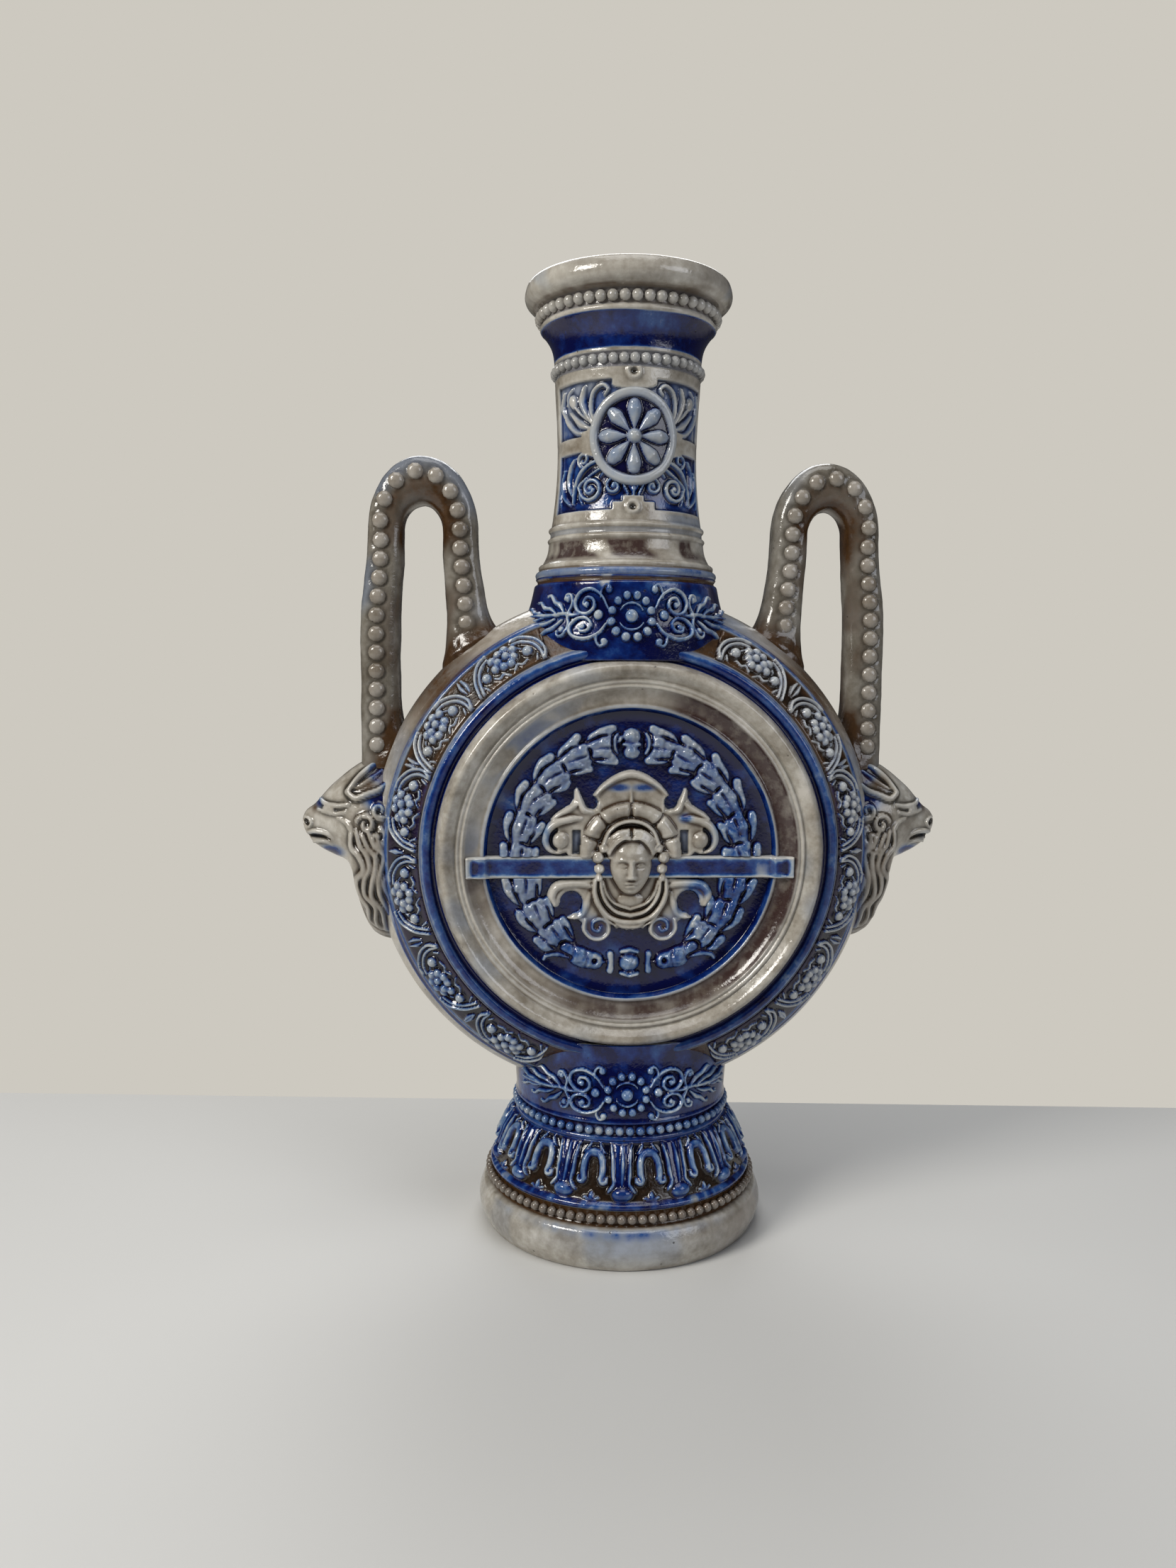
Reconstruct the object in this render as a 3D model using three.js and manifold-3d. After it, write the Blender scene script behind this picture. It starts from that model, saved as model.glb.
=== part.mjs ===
// A salt-glazed stoneware pilgrim bottle: a flat round body on a spreading foot, a tall neck with a
// rolled mouth, and two tall loop handles, each rising from an animal's head on the body's side.
// Millimetres, +Z up. The front faces -Y, and the origin is on the table under the middle of the foot.
import * as THREE from 'three';
import { mergeVertices } from 'three/addons/utils/BufferGeometryUtils.js';
import Module from 'manifold-3d';

const wasm = await Module();
wasm.setup();

// Fits and fineness
const luteGap = 0.3;            // between a piece and the curved surface it is luted to
const bodySides = 28;           // facets round the body
const turnSides = 24;           // facets round every thrown piece

// Foot: a standing ring, a rounded plinth, a bead row and a cone for the leaf frieze
const standOuterRadius = 37;
const standWidth = 5;
const plinthHeight = 10.7;
const plinthBulge = 2.2;
const footBeadRadius = 36;
const footBeadHeight = 4.3;
const footBeadBulge = 0.9;
const friezeBottomRadius = 34.6;
const footTopRadius = 28.2;
const footHeight = 30;
const friezeBulge = 0.6;
const footLeaves = 14;          // leaves of the frieze round the foot
const footLeafRise = 1;
const footBore = 22.5;          // hollow of foot and collar

// Collar: bead row, then a flare that turns oval where it meets the body
const collarBeadHeight = 4;
const collarBeadBulge = 0.9;
const collarRadius = 28.5;
const collarFlareHeight = 7;
const collarTopRadius = 31;
const bodyLift = 5.5;           // lowest point of the body above the foot

// Body: rings of one half, from the middle of the medallion outwards
const fieldRadius = 36.1;
const innerRidgeWidth = 1.5;
const bandWidth = 4.7;
const outerRidgeWidth = 1.1;
const torusWidth = 5.2;
const channelWidth = 2.4;
const mouldingWidth = 2;
const vineWidth = 8.5;
const rimRidgeWidth = 1;
const stripWidth = 1.2;
const sideWidth = 3.1;          // how far the plain side wall bulges past the blue strip

// Body: depths from the joint between the halves
const torusDepth = 26.5;
const torusRise = 2.9;
const fieldDepth = 20.5;
const innerRidgeRise = 2.3;
const bandInnerRise = 1.7;
const bandOuterRise = 3.3;
const bandSink = 0.8;
const outerRidgeRise = 4.2;
const channelDepth = 22;
const mouldingRise = 1.3;
const vineTopDepth = 21.4;
const vineFootDepth = 14.6;
const rimRidgeRise = 0.8;
const stripDepth = 11.8;
const sideBulge = 1.1;
const bodyWall = 5;

// Shoulder: an oval saddle that closes to a round neck
const shoulderRadius = 28.6;
const shoulderSkirt = 7;        // height of the steep lower skirt
const shoulderRise = 2.9;       // joint with the neck above the top of the body
const shoulderTopRadius = 23.7;
const shoulderGroove = 0.6;
const bodyBore = 17;            // opening of body and shoulder under the neck
const ovalClearance = 1.5;      // oval pieces stay this far behind the torus

// Neck
const neckHeight = 50.6;
const flangeHeight = 1.6;
const neckFootRadius = 22.8;
const neckWaistRadius = 18.1;
const neckTopRadius = 18.9;
const neckCoveHeight = 12.5;    // from the flange to the raised lines
const neckLineRadius = 20.1;
const neckLineHeight = 2.6;
const neckBore = 13.5;
const waistDrop = 16.3;         // narrowest place and middle of the rosettes, below the top

// Mouth
const mouthBeadHeight = 4;
const mouthBeadBulge = 1.1;
const coveHeight = 9.8;
const coveTopRadius = 23;
const lipBeadHeight = 3.2;
const lipBeadBulge = 0.8;
const lipRadius = 25.4;
const lipHeight = 9.9;
const lipBulge = 2.6;
const mouthRadius = 21;         // clear opening at the rim

// Handles
const handleCentre = 53;        // middle of the loop from the bottle's axis
const archHeight = 184.3;       // where the legs pass into the arch
const archOuterWidth = 14.2;
const archOuterRise = 19;
const archInnerWidth = 4.9;
const archInnerRise = 6.4;
const legSpread = 2.2;          // outer edge of a leg at its foot, past the arch
const slotSpread = 1.2;
const spreadHeight = 26;        // the legs spread over this height below the arch
const handleDepth = 10.6;
const handleEdge = 2.2;         // width of the bevel between a handle's face and its side
const beadRadius = 2.2;
const beadPitch = 4.8;
const beadRise = 1.4;           // beads stand this far off both faces of a handle

// Animal heads
const headTop = 124;            // flat seat of the outer handle leg
const headNose = 85.2;
const maneDepth = 26;
const maneFoot = 79;
const earLength = 14;
const earWidth = 5.2;
const earThickness = 2.6;
const mouthSlit = 0.9;
const lipsShare = 0.55;         // height of the lips between the end of the mane and the handle's seat

// Pressed ornament
const sprigHeight = 1.6;
const strapHeight = 5.4;
const strapDrop = 3.2;          // strap's middle below the middle of the medallion
const strapThickness = 1.9;
const strapOverRidge = 1.2;     // thickness left where the strap crosses the ridge
const strapBend = 1.5;
const wreathRadius = 28;
const wreathWidth = 6.6;
const wreathLeaves = 20;
const cartoucheHeight = 43.4;
const knotLength = 6;
const knotWidth = 5;
const faceWidth = 12.4;
const faceHeight = 17;
const faceRise = 6.2;
const noseSink = 0.5;
const rosetteRadius = 11.2;
const rosetteHeight = 1.4;
const rosettePetals = 8;
const petalRise = 0.7;
const scrollReach = 22;         // half length of the scrolls on collar and shoulder
const scrollHeight = 13;
const scrollBoss = 11;
const scrollLobes = 2;
const collarScrollLift = 8;     // middle of the scroll above the bead row
const shoulderScrollLift = 4;   // middle of the scroll above the skirt
const vineUnits = 6;            // bunches of grapes in one strip
const vineInset = 0.6;          // bare edge on both sides of the strip
const vineRoot = 1;             // the strip reaches this far into the body before it is cut to lie on it
const vineGround = 0.7;         // top of the strip between its ornaments, over the slope it lies on
const vineStemRise = 0.9;
const vineRibInner = 0.14;      // half the width of a pair of stems, in units, at the inner edge
const vineRibOuter = 0.3;
const bunchLength = 8.4;
const bunchWidth = 6.2;
const bunchRise = 1.3;
const vineStart = 112.5;          // degrees from +X, seen from the front
const vineEnd = 247.5;

// Places that follow from the sizes above
const bandRadius = fieldRadius + innerRidgeWidth;
const outerRidgeRadius = bandRadius + bandWidth;
const torusInnerRadius = outerRidgeRadius + outerRidgeWidth;
const torusOuterRadius = torusInnerRadius + torusWidth;
const mouldingRadius = torusOuterRadius + channelWidth;
const vineRadius = mouldingRadius + mouldingWidth;
const rimRidgeRadius = vineRadius + vineWidth;
const stripRadius = rimRidgeRadius + rimRidgeWidth;
const sideRadius = stripRadius + stripWidth;
const bodyRadius = sideRadius + sideWidth;
const bodyCentre = footHeight + bodyLift + bodyRadius;
const collarTop = bodyCentre - torusOuterRadius;
const shoulderFoot = bodyCentre + torusOuterRadius;
const shoulderTop = bodyCentre + bodyRadius + shoulderRise;
const neckTop = shoulderTop + neckHeight;
const ovalDepth = torusDepth - ovalClearance;
const rosetteMiddle = neckTop - waistDrop;

const greyGlaze = { color: 0xa7a398, roughness: 0.35, metalness: 0 };
const blueGlaze = { color: 0x1a2f86, roughness: 0.25, metalness: 0 };

// Points from one place to another, bowed out to the right of the way by a part of a sine wave.
function bow([r0, h0], [r1, h1], out, steps) {
  const length = Math.hypot(r1 - r0, h1 - h0);
  const points = [];
  for (let i = 0; i <= steps; i += 1) {
    const t = i / steps;
    const push = (out * Math.sin(Math.PI * t)) / length;
    points.push([r0 + (r1 - r0) * t + push * (h1 - h0), h0 + (h1 - h0) * t - push * (r1 - r0)]);
  }
  return points;
}

// One watertight geometry: corners joined, triangles without area dropped.
function joined(geometry) {
  const bare = new THREE.BufferGeometry();
  bare.setAttribute('position', geometry.getAttribute('position'));
  if (geometry.index) bare.setIndex(geometry.index);
  const merged = mergeVertices(bare, 1e-4);
  const corners = merged.index.array;
  const kept = [];
  for (let i = 0; i < corners.length; i += 3) {
    const [a, b, c] = [corners[i], corners[i + 1], corners[i + 2]];
    if (a !== b && b !== c && c !== a) kept.push(a, b, c);
  }
  merged.setIndex(kept);
  return merged;
}

function toSolid(geometry) {
  const merged = joined(geometry);
  return new wasm.Manifold(new wasm.Mesh({
    numProp: 3,
    vertProperties: new Float32Array(merged.getAttribute('position').array),
    triVerts: new Uint32Array(merged.index.array),
  }));
}

function toGeometry(solid) {
  const mesh = solid.getMesh();
  const geometry = new THREE.BufferGeometry();
  geometry.setAttribute('position', new THREE.BufferAttribute(new Float32Array(mesh.vertProperties), 3));
  geometry.setIndex(new THREE.BufferAttribute(new Uint32Array(mesh.triVerts), 1));
  return geometry;
}

// Takes the other geometries away from the first.
function cut(geometry, ...tools) {
  let solid = toSolid(geometry);
  for (const tool of tools) solid = solid.subtract(toSolid(tool));
  return toGeometry(solid);
}

function fuse(geometry, ...others) {
  let solid = toSolid(geometry);
  for (const other of others) solid = solid.add(toSolid(other));
  return toGeometry(solid);
}

// Turns an outline of [radius, height] points about the Z axis. It closes on itself or on the axis.
function turned(outline, sides = turnSides) {
  const points = outline.map(([r, h]) => new THREE.Vector2(r, h));
  if (THREE.ShapeUtils.area(points) < 0) points.reverse();
  const onAxis = points.some((point) => point.x === 0);
  if (onAxis) {
    while (points[0].x !== 0 || points[points.length - 1].x !== 0) points.push(points.shift());
  } else {
    points.push(points[0].clone());
  }
  return new THREE.LatheGeometry(points, sides).rotateX(Math.PI / 2);
}

// A closed skin over a row of rings that have equally many corners, with a fan at both ends.
function lofted(rings) {
  const count = rings[0].length;
  const corners = rings.flat();
  const faces = [];
  for (let i = 0; i < rings.length - 1; i += 1) {
    for (let j = 0; j < count; j += 1) {
      const [a, b] = [i * count + j, i * count + ((j + 1) % count)];
      faces.push(a, b, b + count, a, b + count, a + count);
    }
  }
  const last = (rings.length - 1) * count;
  for (let j = 1; j < count - 1; j += 1) {
    faces.push(0, j + 1, j, last, last + j, last + j + 1);
  }
  let volume = 0;
  for (let i = 0; i < faces.length; i += 3) {
    const [a, b, c] = [corners[faces[i]], corners[faces[i + 1]], corners[faces[i + 2]]];
    volume += a.dot(new THREE.Vector3().crossVectors(b, c));
  }
  if (volume < 0) faces.reverse();
  const geometry = new THREE.BufferGeometry().setFromPoints(corners);
  geometry.setIndex(faces);
  return geometry;
}

// Squeezes a turned piece front to back; share(z) is its depth as a share of its width.
function squeezed(geometry, share) {
  const place = geometry.getAttribute('position');
  for (let i = 0; i < place.count; i += 1) place.setY(i, place.getY(i) * share(place.getZ(i)));
  return geometry;
}

// Stands a piece that was modelled flat, facing +Z, against the front of the body.
function facing(geometry) {
  return geometry.rotateX(Math.PI / 2).translate(0, 0, bodyCentre);
}

function box(width, depth, height, x, y, z) {
  return new THREE.BoxGeometry(width, depth, height).translate(x, y, z);
}

function smooth(t) {
  const s = Math.min(1, Math.max(0, t));
  return s * s * (3 - 2 * s);
}

// Moves an outline out to the right of its way by a gap. An end on the joint plane or on the axis
// stays there, and any other end moves straight out.
function grown(outline, gap) {
  const normal = ([r0, h0], [r1, h1]) => new THREE.Vector2(h1 - h0, r0 - r1).normalize();
  const last = outline.length - 1;
  return outline.map(([r, h], i) => {
    const mirrored = ([r2, h2]) => (h === 0 ? [r2, -h2] : [-r2, h2]);
    const isHeld = h === 0 || r === 0;
    const before = i > 0 ? outline[i - 1] : isHeld && mirrored(outline[1]);
    const after = i < last ? outline[i + 1] : isHeld && mirrored(outline[last - 1]);
    const a = normal(before || [r, h], before ? [r, h] : after);
    const b = normal(after ? [r, h] : before, after || [r, h]);
    const way = a.clone().add(b).multiplyScalar(gap / (1 + a.dot(b)));
    return [r + way.x, h + way.y];
  });
}

// Outline of one half of the body from the rim to the middle, as [radius, depth].
function bodyFace() {
  return [
    ...bow([bodyRadius, 0], [sideRadius, stripDepth], sideBulge, 2),
    [stripRadius, stripDepth + stripWidth],
    [rimRidgeRadius, vineFootDepth + rimRidgeRise],
    [rimRidgeRadius, vineFootDepth],
    [vineRadius, vineTopDepth],
    [vineRadius, vineTopDepth + mouldingRise],
    [mouldingRadius, channelDepth + mouldingRise],
    [mouldingRadius, channelDepth],
    [torusOuterRadius, channelDepth],
    ...bow([torusOuterRadius, torusDepth - torusRise], [torusInnerRadius, torusDepth - torusRise], torusRise, 3),
    [torusInnerRadius, fieldDepth + outerRidgeRise],
    [outerRidgeRadius, fieldDepth + outerRidgeRise],
    ...bow([outerRidgeRadius, fieldDepth + bandOuterRise], [bandRadius, fieldDepth + bandInnerRise], -bandSink, 2),
    [bandRadius, fieldDepth + innerRidgeRise],
    [fieldRadius, fieldDepth + innerRidgeRise],
    [fieldRadius, fieldDepth],
    [0, fieldDepth],
  ];
}

// The whole body without its hollow, a gap larger all round, to seat other pieces on.
function bodySeat() {
  const front = grown(bodyFace(), luteGap);
  const back = front.slice(1).reverse().map(([r, d]) => [r, -d]);
  return facing(turned([...front.reverse(), ...back.reverse()], bodySides));
}

// One half of the body: a pressed dish with its rings outside and a plain hollow inside.
function bodyHalf() {
  const inside = [
    [0, fieldDepth - bodyWall],
    [mouldingRadius - bodyWall + 2, fieldDepth - bodyWall],
    [rimRidgeRadius - bodyWall + 1, vineFootDepth - bodyWall],
    [bodyRadius - bodyWall, 0],
  ];
  const dish = facing(turned([...bodyFace(), ...inside], bodySides));
  const boreHeight = bodyRadius - vineRadius + bodyWall;
  const bore = new THREE.CylinderGeometry(bodyBore, bodyBore, boreHeight, turnSides)
    .rotateX(Math.PI / 2)
    .translate(0, 0, bodyCentre + vineRadius + boreHeight / 2);
  return cut(dish, bore);
}

// Spreading foot. The leaves of its frieze are ridges between one facet of the turning and the next.
function foot() {
  const hollow = footBore + standOuterRadius - standWidth;
  const cone = turned([
    [standOuterRadius, 0],
    ...bow([standOuterRadius, 0.8], [standOuterRadius + 0.3, plinthHeight], plinthBulge, 3),
    ...bow([footBeadRadius, plinthHeight], [footBeadRadius - 0.5, plinthHeight + footBeadHeight], footBeadBulge, 2),
    ...bow([friezeBottomRadius, plinthHeight + footBeadHeight], [footTopRadius, footHeight], friezeBulge, 3),
    [footBore, footHeight],
    [hollow / 2, footHeight / 2],
    [standOuterRadius - standWidth, 2],
    [standOuterRadius - standWidth, 0],
  ], 2 * footLeaves);
  const friezeFoot = plinthHeight + footBeadHeight;
  const place = cone.getAttribute('position');
  for (let i = 0; i < place.count; i += 1) {
    const [x, y, z] = [place.getX(i), place.getY(i), place.getZ(i)];
    const radius = Math.hypot(x, y);
    const isFrieze = z > friezeFoot + 1 && z < footHeight - 1 && radius > footTopRadius;
    const ridge = footLeafRise * Math.cos(footLeaves * Math.atan2(x, -y));
    const grow = isFrieze ? 1 + ridge / radius : 1;
    place.setXY(i, x * grow, y * grow);
  }
  return cone;
}

// Outside of the collar, from its joint with the foot up to the ring of the medallion.
function collarOutline() {
  const beadTop = footHeight + collarBeadHeight;
  return [
    ...bow([footTopRadius - 0.2, footHeight], [footTopRadius - 0.2, beadTop], collarBeadBulge, 2),
    [collarRadius, beadTop],
    [collarRadius, beadTop + 2.5],
    [(collarRadius + collarTopRadius) / 2, beadTop + collarFlareHeight],
    [collarTopRadius, collarTop],
  ];
}

function collarSqueezed(outline) {
  const beadTop = footHeight + collarBeadHeight;
  const narrowing = 1 - ovalDepth / collarTopRadius;
  const share = (z) => 1 - narrowing * smooth((z - beadTop) / (collarTop - beadTop));
  return squeezed(turned(outline), share);
}

function collar() {
  const bore = [[footBore, collarTop], [footBore, footHeight]];
  return cut(collarSqueezed([...collarOutline(), ...bore]), bodySeat());
}

// Outside of the shoulder, from the ring of the medallion up to its joint with the neck.
function shoulderOutline() {
  const skirtTop = shoulderFoot + shoulderSkirt;
  const grooveHeight = shoulderTop - 1.6;
  return [
    [shoulderRadius, shoulderFoot],
    ...bow([shoulderRadius, skirtTop], [shoulderTopRadius + 0.3, grooveHeight], -0.5, 2),
    [shoulderTopRadius - shoulderGroove, grooveHeight + 0.3],
    [shoulderTopRadius - shoulderGroove, shoulderTop - 0.6],
    [shoulderTopRadius, shoulderTop],
  ];
}

function shoulderSqueezed(outline) {
  const narrowing = 1 - ovalDepth / shoulderRadius;
  const rise = shoulderTop - shoulderFoot - shoulderSkirt;
  const share = (z) => 1 - narrowing * smooth((shoulderTop - z) / rise);
  return squeezed(turned(outline), share);
}

function shoulder() {
  const bore = [[bodyBore, shoulderTop], [bodyBore, shoulderFoot]];
  return cut(shoulderSqueezed([...shoulderOutline(), ...bore]), bodySeat());
}

// Collar and shoulder without their bores, grown by a gap, to end the vine strips on and to lay the
// scrolls on.
function collarSkin(gap) {
  return collarSqueezed([[0, footHeight], ...grown(collarOutline(), gap), [0, collarTop]]);
}

function shoulderSkin(gap) {
  return shoulderSqueezed([[0, shoulderFoot], ...grown(shoulderOutline(), gap), [0, shoulderTop]]);
}

// A pressed scroll laid over a curved skin: a round boss with a spray of leaves to each side.
function scroll(skin, height) {
  const half = [];
  for (let i = 0; i <= scrollLobes * 2; i += 1) {
    const t = i / (scrollLobes * 2);
    const leaf = scrollHeight * (i % 2 === 0 ? 0.28 : 0.5) * (1 - 0.6 * t);
    half.push([scrollBoss / 2 + (scrollReach - scrollBoss / 2) * t, leaf]);
  }
  const top = [...half.map(([x, y]) => [-x, y]).reverse(), [0, scrollBoss / 2], ...half];
  const outline = [...top, ...top.map(([x, y]) => [x, -y]).reverse()];
  const shape = new THREE.Shape(outline.map(([x, y]) => new THREE.Vector2(x, y)));
  const bar = new THREE.ExtrudeGeometry(shape, { depth: standOuterRadius, bevelEnabled: false })
    .rotateX(Math.PI / 2)
    .translate(0, 0, height);
  const shell = toSolid(bar).intersect(toSolid(skin(luteGap + sprigHeight / 2)));
  return cut(toGeometry(shell.subtract(toSolid(skin(luteGap)))), bodySeat());
}

// Radius of the plain neck at a share of the way from its foot to its waist.
function neckCurve() {
  const flange = shoulderTop + flangeHeight;
  const waist = rosetteMiddle;
  const curve = new THREE.CubicBezierCurve(
    new THREE.Vector2(neckFootRadius, flange),
    new THREE.Vector2(neckWaistRadius + 1.6, flange + neckCoveHeight),
    new THREE.Vector2(neckWaistRadius, waist - neckCoveHeight),
    new THREE.Vector2(neckWaistRadius, waist),
  );
  return curve.getPoints(6).map((point) => [point.x, point.y]);
}

// Outside of the neck from its joint with the shoulder up to the mouth.
function neckOutline() {
  const lines = shoulderTop + flangeHeight + neckCoveHeight;
  const curve = neckCurve();
  return [
    [shoulderTopRadius - 0.3, shoulderTop],
    [shoulderTopRadius - 0.3, shoulderTop + flangeHeight],
    ...curve.filter(([, h]) => h < lines - neckLineHeight),
    [neckLineRadius, lines - neckLineHeight],
    [neckLineRadius - 0.4, lines],
    ...curve.filter(([, h]) => h > lines),
    [neckTopRadius, neckTop],
  ];
}

function neck() {
  return turned([
    ...neckOutline(),
    [neckBore, neckTop],
    [neckBore, shoulderTop + neckCoveHeight],
    [bodyBore, shoulderTop],
  ]);
}

// The neck without its bore, a gap larger, to seat the rosettes on.
function neckSeat() {
  return turned([[0, shoulderTop], ...grown(neckOutline(), luteGap), [0, neckTop]]);
}

function mouth() {
  const coveFoot = neckTop + mouthBeadHeight;
  const coveTop = coveFoot + coveHeight;
  const lipFoot = coveTop + lipBeadHeight;
  const rim = lipFoot + lipHeight;
  return turned([
    ...bow([neckTopRadius, neckTop], [neckTopRadius + 0.3, coveFoot], mouthBeadBulge, 2),
    ...bow([neckTopRadius + 0.6, coveFoot], [coveTopRadius, coveTop], -0.9, 3),
    ...bow([coveTopRadius, coveTop], [coveTopRadius + 1.2, lipFoot], lipBeadBulge, 2),
    ...bow([lipRadius, lipFoot], [lipRadius - 1, rim - 1], lipBulge, 3),
    [(lipRadius + mouthRadius) / 2, rim],
    [mouthRadius, rim - 1.4],
    [(mouthRadius + neckBore) / 2 + 1, coveTop],
    [neckBore, neckTop],
  ]);
}

// One ring of a handle from its inner to its outer edge, a rectangle with broken corners.
function handleRing(innerX, innerZ, outerX, outerZ) {
  const half = handleDepth / 2;
  const width = Math.hypot(outerX - innerX, outerZ - innerZ);
  const flat = half - handleEdge;
  const corners = [
    [width, -flat], [width, flat], [width - handleEdge, half], [handleEdge, half],
    [0, flat], [0, -flat], [handleEdge, -half], [width - handleEdge, -half],
  ];
  return corners.map(([along, y]) => new THREE.Vector3(
    innerX + ((outerX - innerX) * along) / width,
    y,
    innerZ + ((outerZ - innerZ) * along) / width,
  ));
}

// The left handle: outer leg, arch and inner leg as one loft, cut to sit on the body.
function handle() {
  const rings = [];
  const middles = [];
  const addRing = (innerX, innerZ, outerX, outerZ) => {
    rings.push(handleRing(innerX - handleCentre, innerZ, outerX - handleCentre, outerZ));
    middles.push(new THREE.Vector3((innerX + outerX) / 2 - handleCentre, 0, (innerZ + outerZ) / 2));
  };
  const legRing = (side, z) => {
    const spread = smooth((archHeight - z) / spreadHeight);
    addRing(side * (archInnerWidth + slotSpread * spread), z, side * (archOuterWidth + legSpread * spread), z);
  };
  const steps = 4;
  const outerDrop = archHeight - headTop;
  for (let i = 0; i < steps; i += 1) legRing(-1, headTop + (outerDrop * i) / steps);
  const archSteps = 8;
  for (let i = 0; i <= archSteps; i += 1) {
    const angle = Math.PI * (1 - i / archSteps);
    const [c, s] = [Math.cos(angle), Math.sin(angle)];
    addRing(
      archInnerWidth * c, archHeight + archInnerRise * s,
      archOuterWidth * c, archHeight + archOuterRise * s,
    );
  }
  const innerDrop = archHeight - (bodyCentre + fieldRadius);
  for (let i = 1; i <= steps; i += 1) legRing(1, archHeight - (innerDrop * i) / steps);
  const beads = handleBeads(new THREE.CatmullRomCurve3(middles));
  return cut(fuse(lofted(rings), ...beads), bodySeat());
}

// Beads at an even pitch along a handle, on both of its faces, as far as it stands clear of the body.
function handleBeads(line) {
  const count = Math.floor(line.getLength() / beadPitch);
  const root = 0.3;
  const bead = new THREE.ConeGeometry(beadRadius, beadRise + root, 5, 1);
  const beads = [];
  for (let i = 0; i < count; i += 1) {
    const at = line.getPointAt((i + 0.5) / count);
    const isClear = Math.hypot(at.x, at.z - bodyCentre) > bodyRadius + beadRadius;
    if (isClear && at.z > headTop + beadPitch) {
      for (const side of [-1, 1]) {
        beads.push(bead.clone().translate(0, (handleDepth + beadRise - root) / 2, 0)
          .rotateX(side === 1 ? 0 : Math.PI).translate(at.x, 0, at.z));
      }
    }
  }
  return beads;
}

// An oval ring in the YZ plane at a distance from the bottle's axis.
function headRing(x, low, high, width) {
  const ring = [];
  const sides = 12;
  for (let i = 0; i < sides; i += 1) {
    const angle = (2 * Math.PI * (i + 0.5)) / sides;
    ring.push(new THREE.Vector3(
      -x,
      (Math.cos(angle) * width) / 2,
      (low + high) / 2 + (Math.sin(angle) * (high - low)) / 2,
    ));
  }
  return ring;
}

// A leaf-shaped ear from a place on the head, back over the edge of the body.
function ear(from, side) {
  const way = new THREE.Vector3(1.3, side, 1).normalize();
  const across = new THREE.Vector3(-1, 0, 1.3).normalize();
  const through = new THREE.Vector3().crossVectors(way, across).normalize();
  const rings = [0, 0.3, 0.6, 0.85, 1].map((t) => {
    const half = (earWidth / 2) * Math.sin(Math.PI * (0.2 + 0.78 * t));
    const thick = (earThickness / 2) * (1 - 0.6 * t);
    return [[1, 0], [0, 1], [-1, 0], [0, -1]].map(([a, b]) => from.clone()
      .addScaledVector(way, earLength * t)
      .addScaledVector(across, a * half)
      .addScaledVector(through, b * thick));
  });
  return lofted(rings);
}

// The left animal head: a loft from the mane on the body out to the nose, with ears and a mouth.
// Each section has its place between body and nose, its lower and upper edge as shares of the height
// from the end of the mane to the seat of the handle, and its share of the width of the mane.
function ramHead() {
  const reach = headNose - bodyRadius;
  const span = headTop - maneFoot;
  const at = (share) => bodyRadius + reach * share;
  const rise = (share) => maneFoot + span * share;
  const sections = [
    [-0.29, 0.04, 1.04, 1], [0, 0.03, 1.04, 0.92], [0.16, 0.16, 1.02, 0.8],
    [0.27, 0.37, 0.98, 0.7], [0.38, 0.42, 0.93, 0.62], [0.58, 0.455, 0.86, 0.5],
    [0.77, 0.49, 0.78, 0.42], [0.93, 0.555, 0.725, 0.3], [1, 0.62, 0.69, 0.14],
  ];
  const rings = sections.map(([out, low, high, width]) => (
    headRing(at(out), rise(low), rise(high), maneDepth * width)));
  const lips = rise(lipsShare);
  const slit = new THREE.Shape()
    .moveTo(-at(1.05), lips + mouthSlit / 2)
    .lineTo(-at(1.05), lips - mouthSlit / 2)
    .lineTo(-at(0.42), lips);
  const slitBar = new THREE.ExtrudeGeometry(slit, { depth: maneDepth, bevelEnabled: false })
    .translate(0, 0, -maneDepth / 2)
    .rotateX(Math.PI / 2);
  const seatBox = box(4 * reach, maneDepth * 2, span, -bodyRadius, 0, headTop + span / 2);
  const head = cut(lofted(rings), seatBox, slitBar);
  const ears = [1, -1].map((side) => (
    ear(new THREE.Vector3(-at(0.13), side * maneDepth * 0.27, rise(0.845)), side)));
  return cut(fuse(head, ...ears), bodySeat());
}

// Flat strap over the medallion, bent over the ridge, with its ends on the band.
function strap() {
  const reach = outerRidgeRadius - luteGap;
  const low = fieldDepth + strapThickness;
  const high = fieldDepth + innerRidgeRise + strapOverRidge;
  const half = [
    [fieldRadius - strapBend, low],
    [fieldRadius - strapBend / 2, high],
    [bandRadius + strapBend / 2, high],
    [bandRadius + strapBend, low + bandInnerRise],
    [reach, fieldDepth + bandOuterRise + strapThickness / 2],
    [reach, fieldDepth],
  ];
  const outline = [...half, ...half.map(([x, d]) => [-x, d]).reverse()];
  const shape = new THREE.Shape(outline.map(([x, d]) => new THREE.Vector2(x, d)));
  const bar = new THREE.ExtrudeGeometry(shape, { depth: strapHeight, bevelEnabled: false })
    .translate(0, 0, -strapHeight / 2)
    .rotateX(Math.PI)
    .translate(0, 0, bodyCentre - strapDrop);
  return cut(bar, bodySeat());
}

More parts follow.
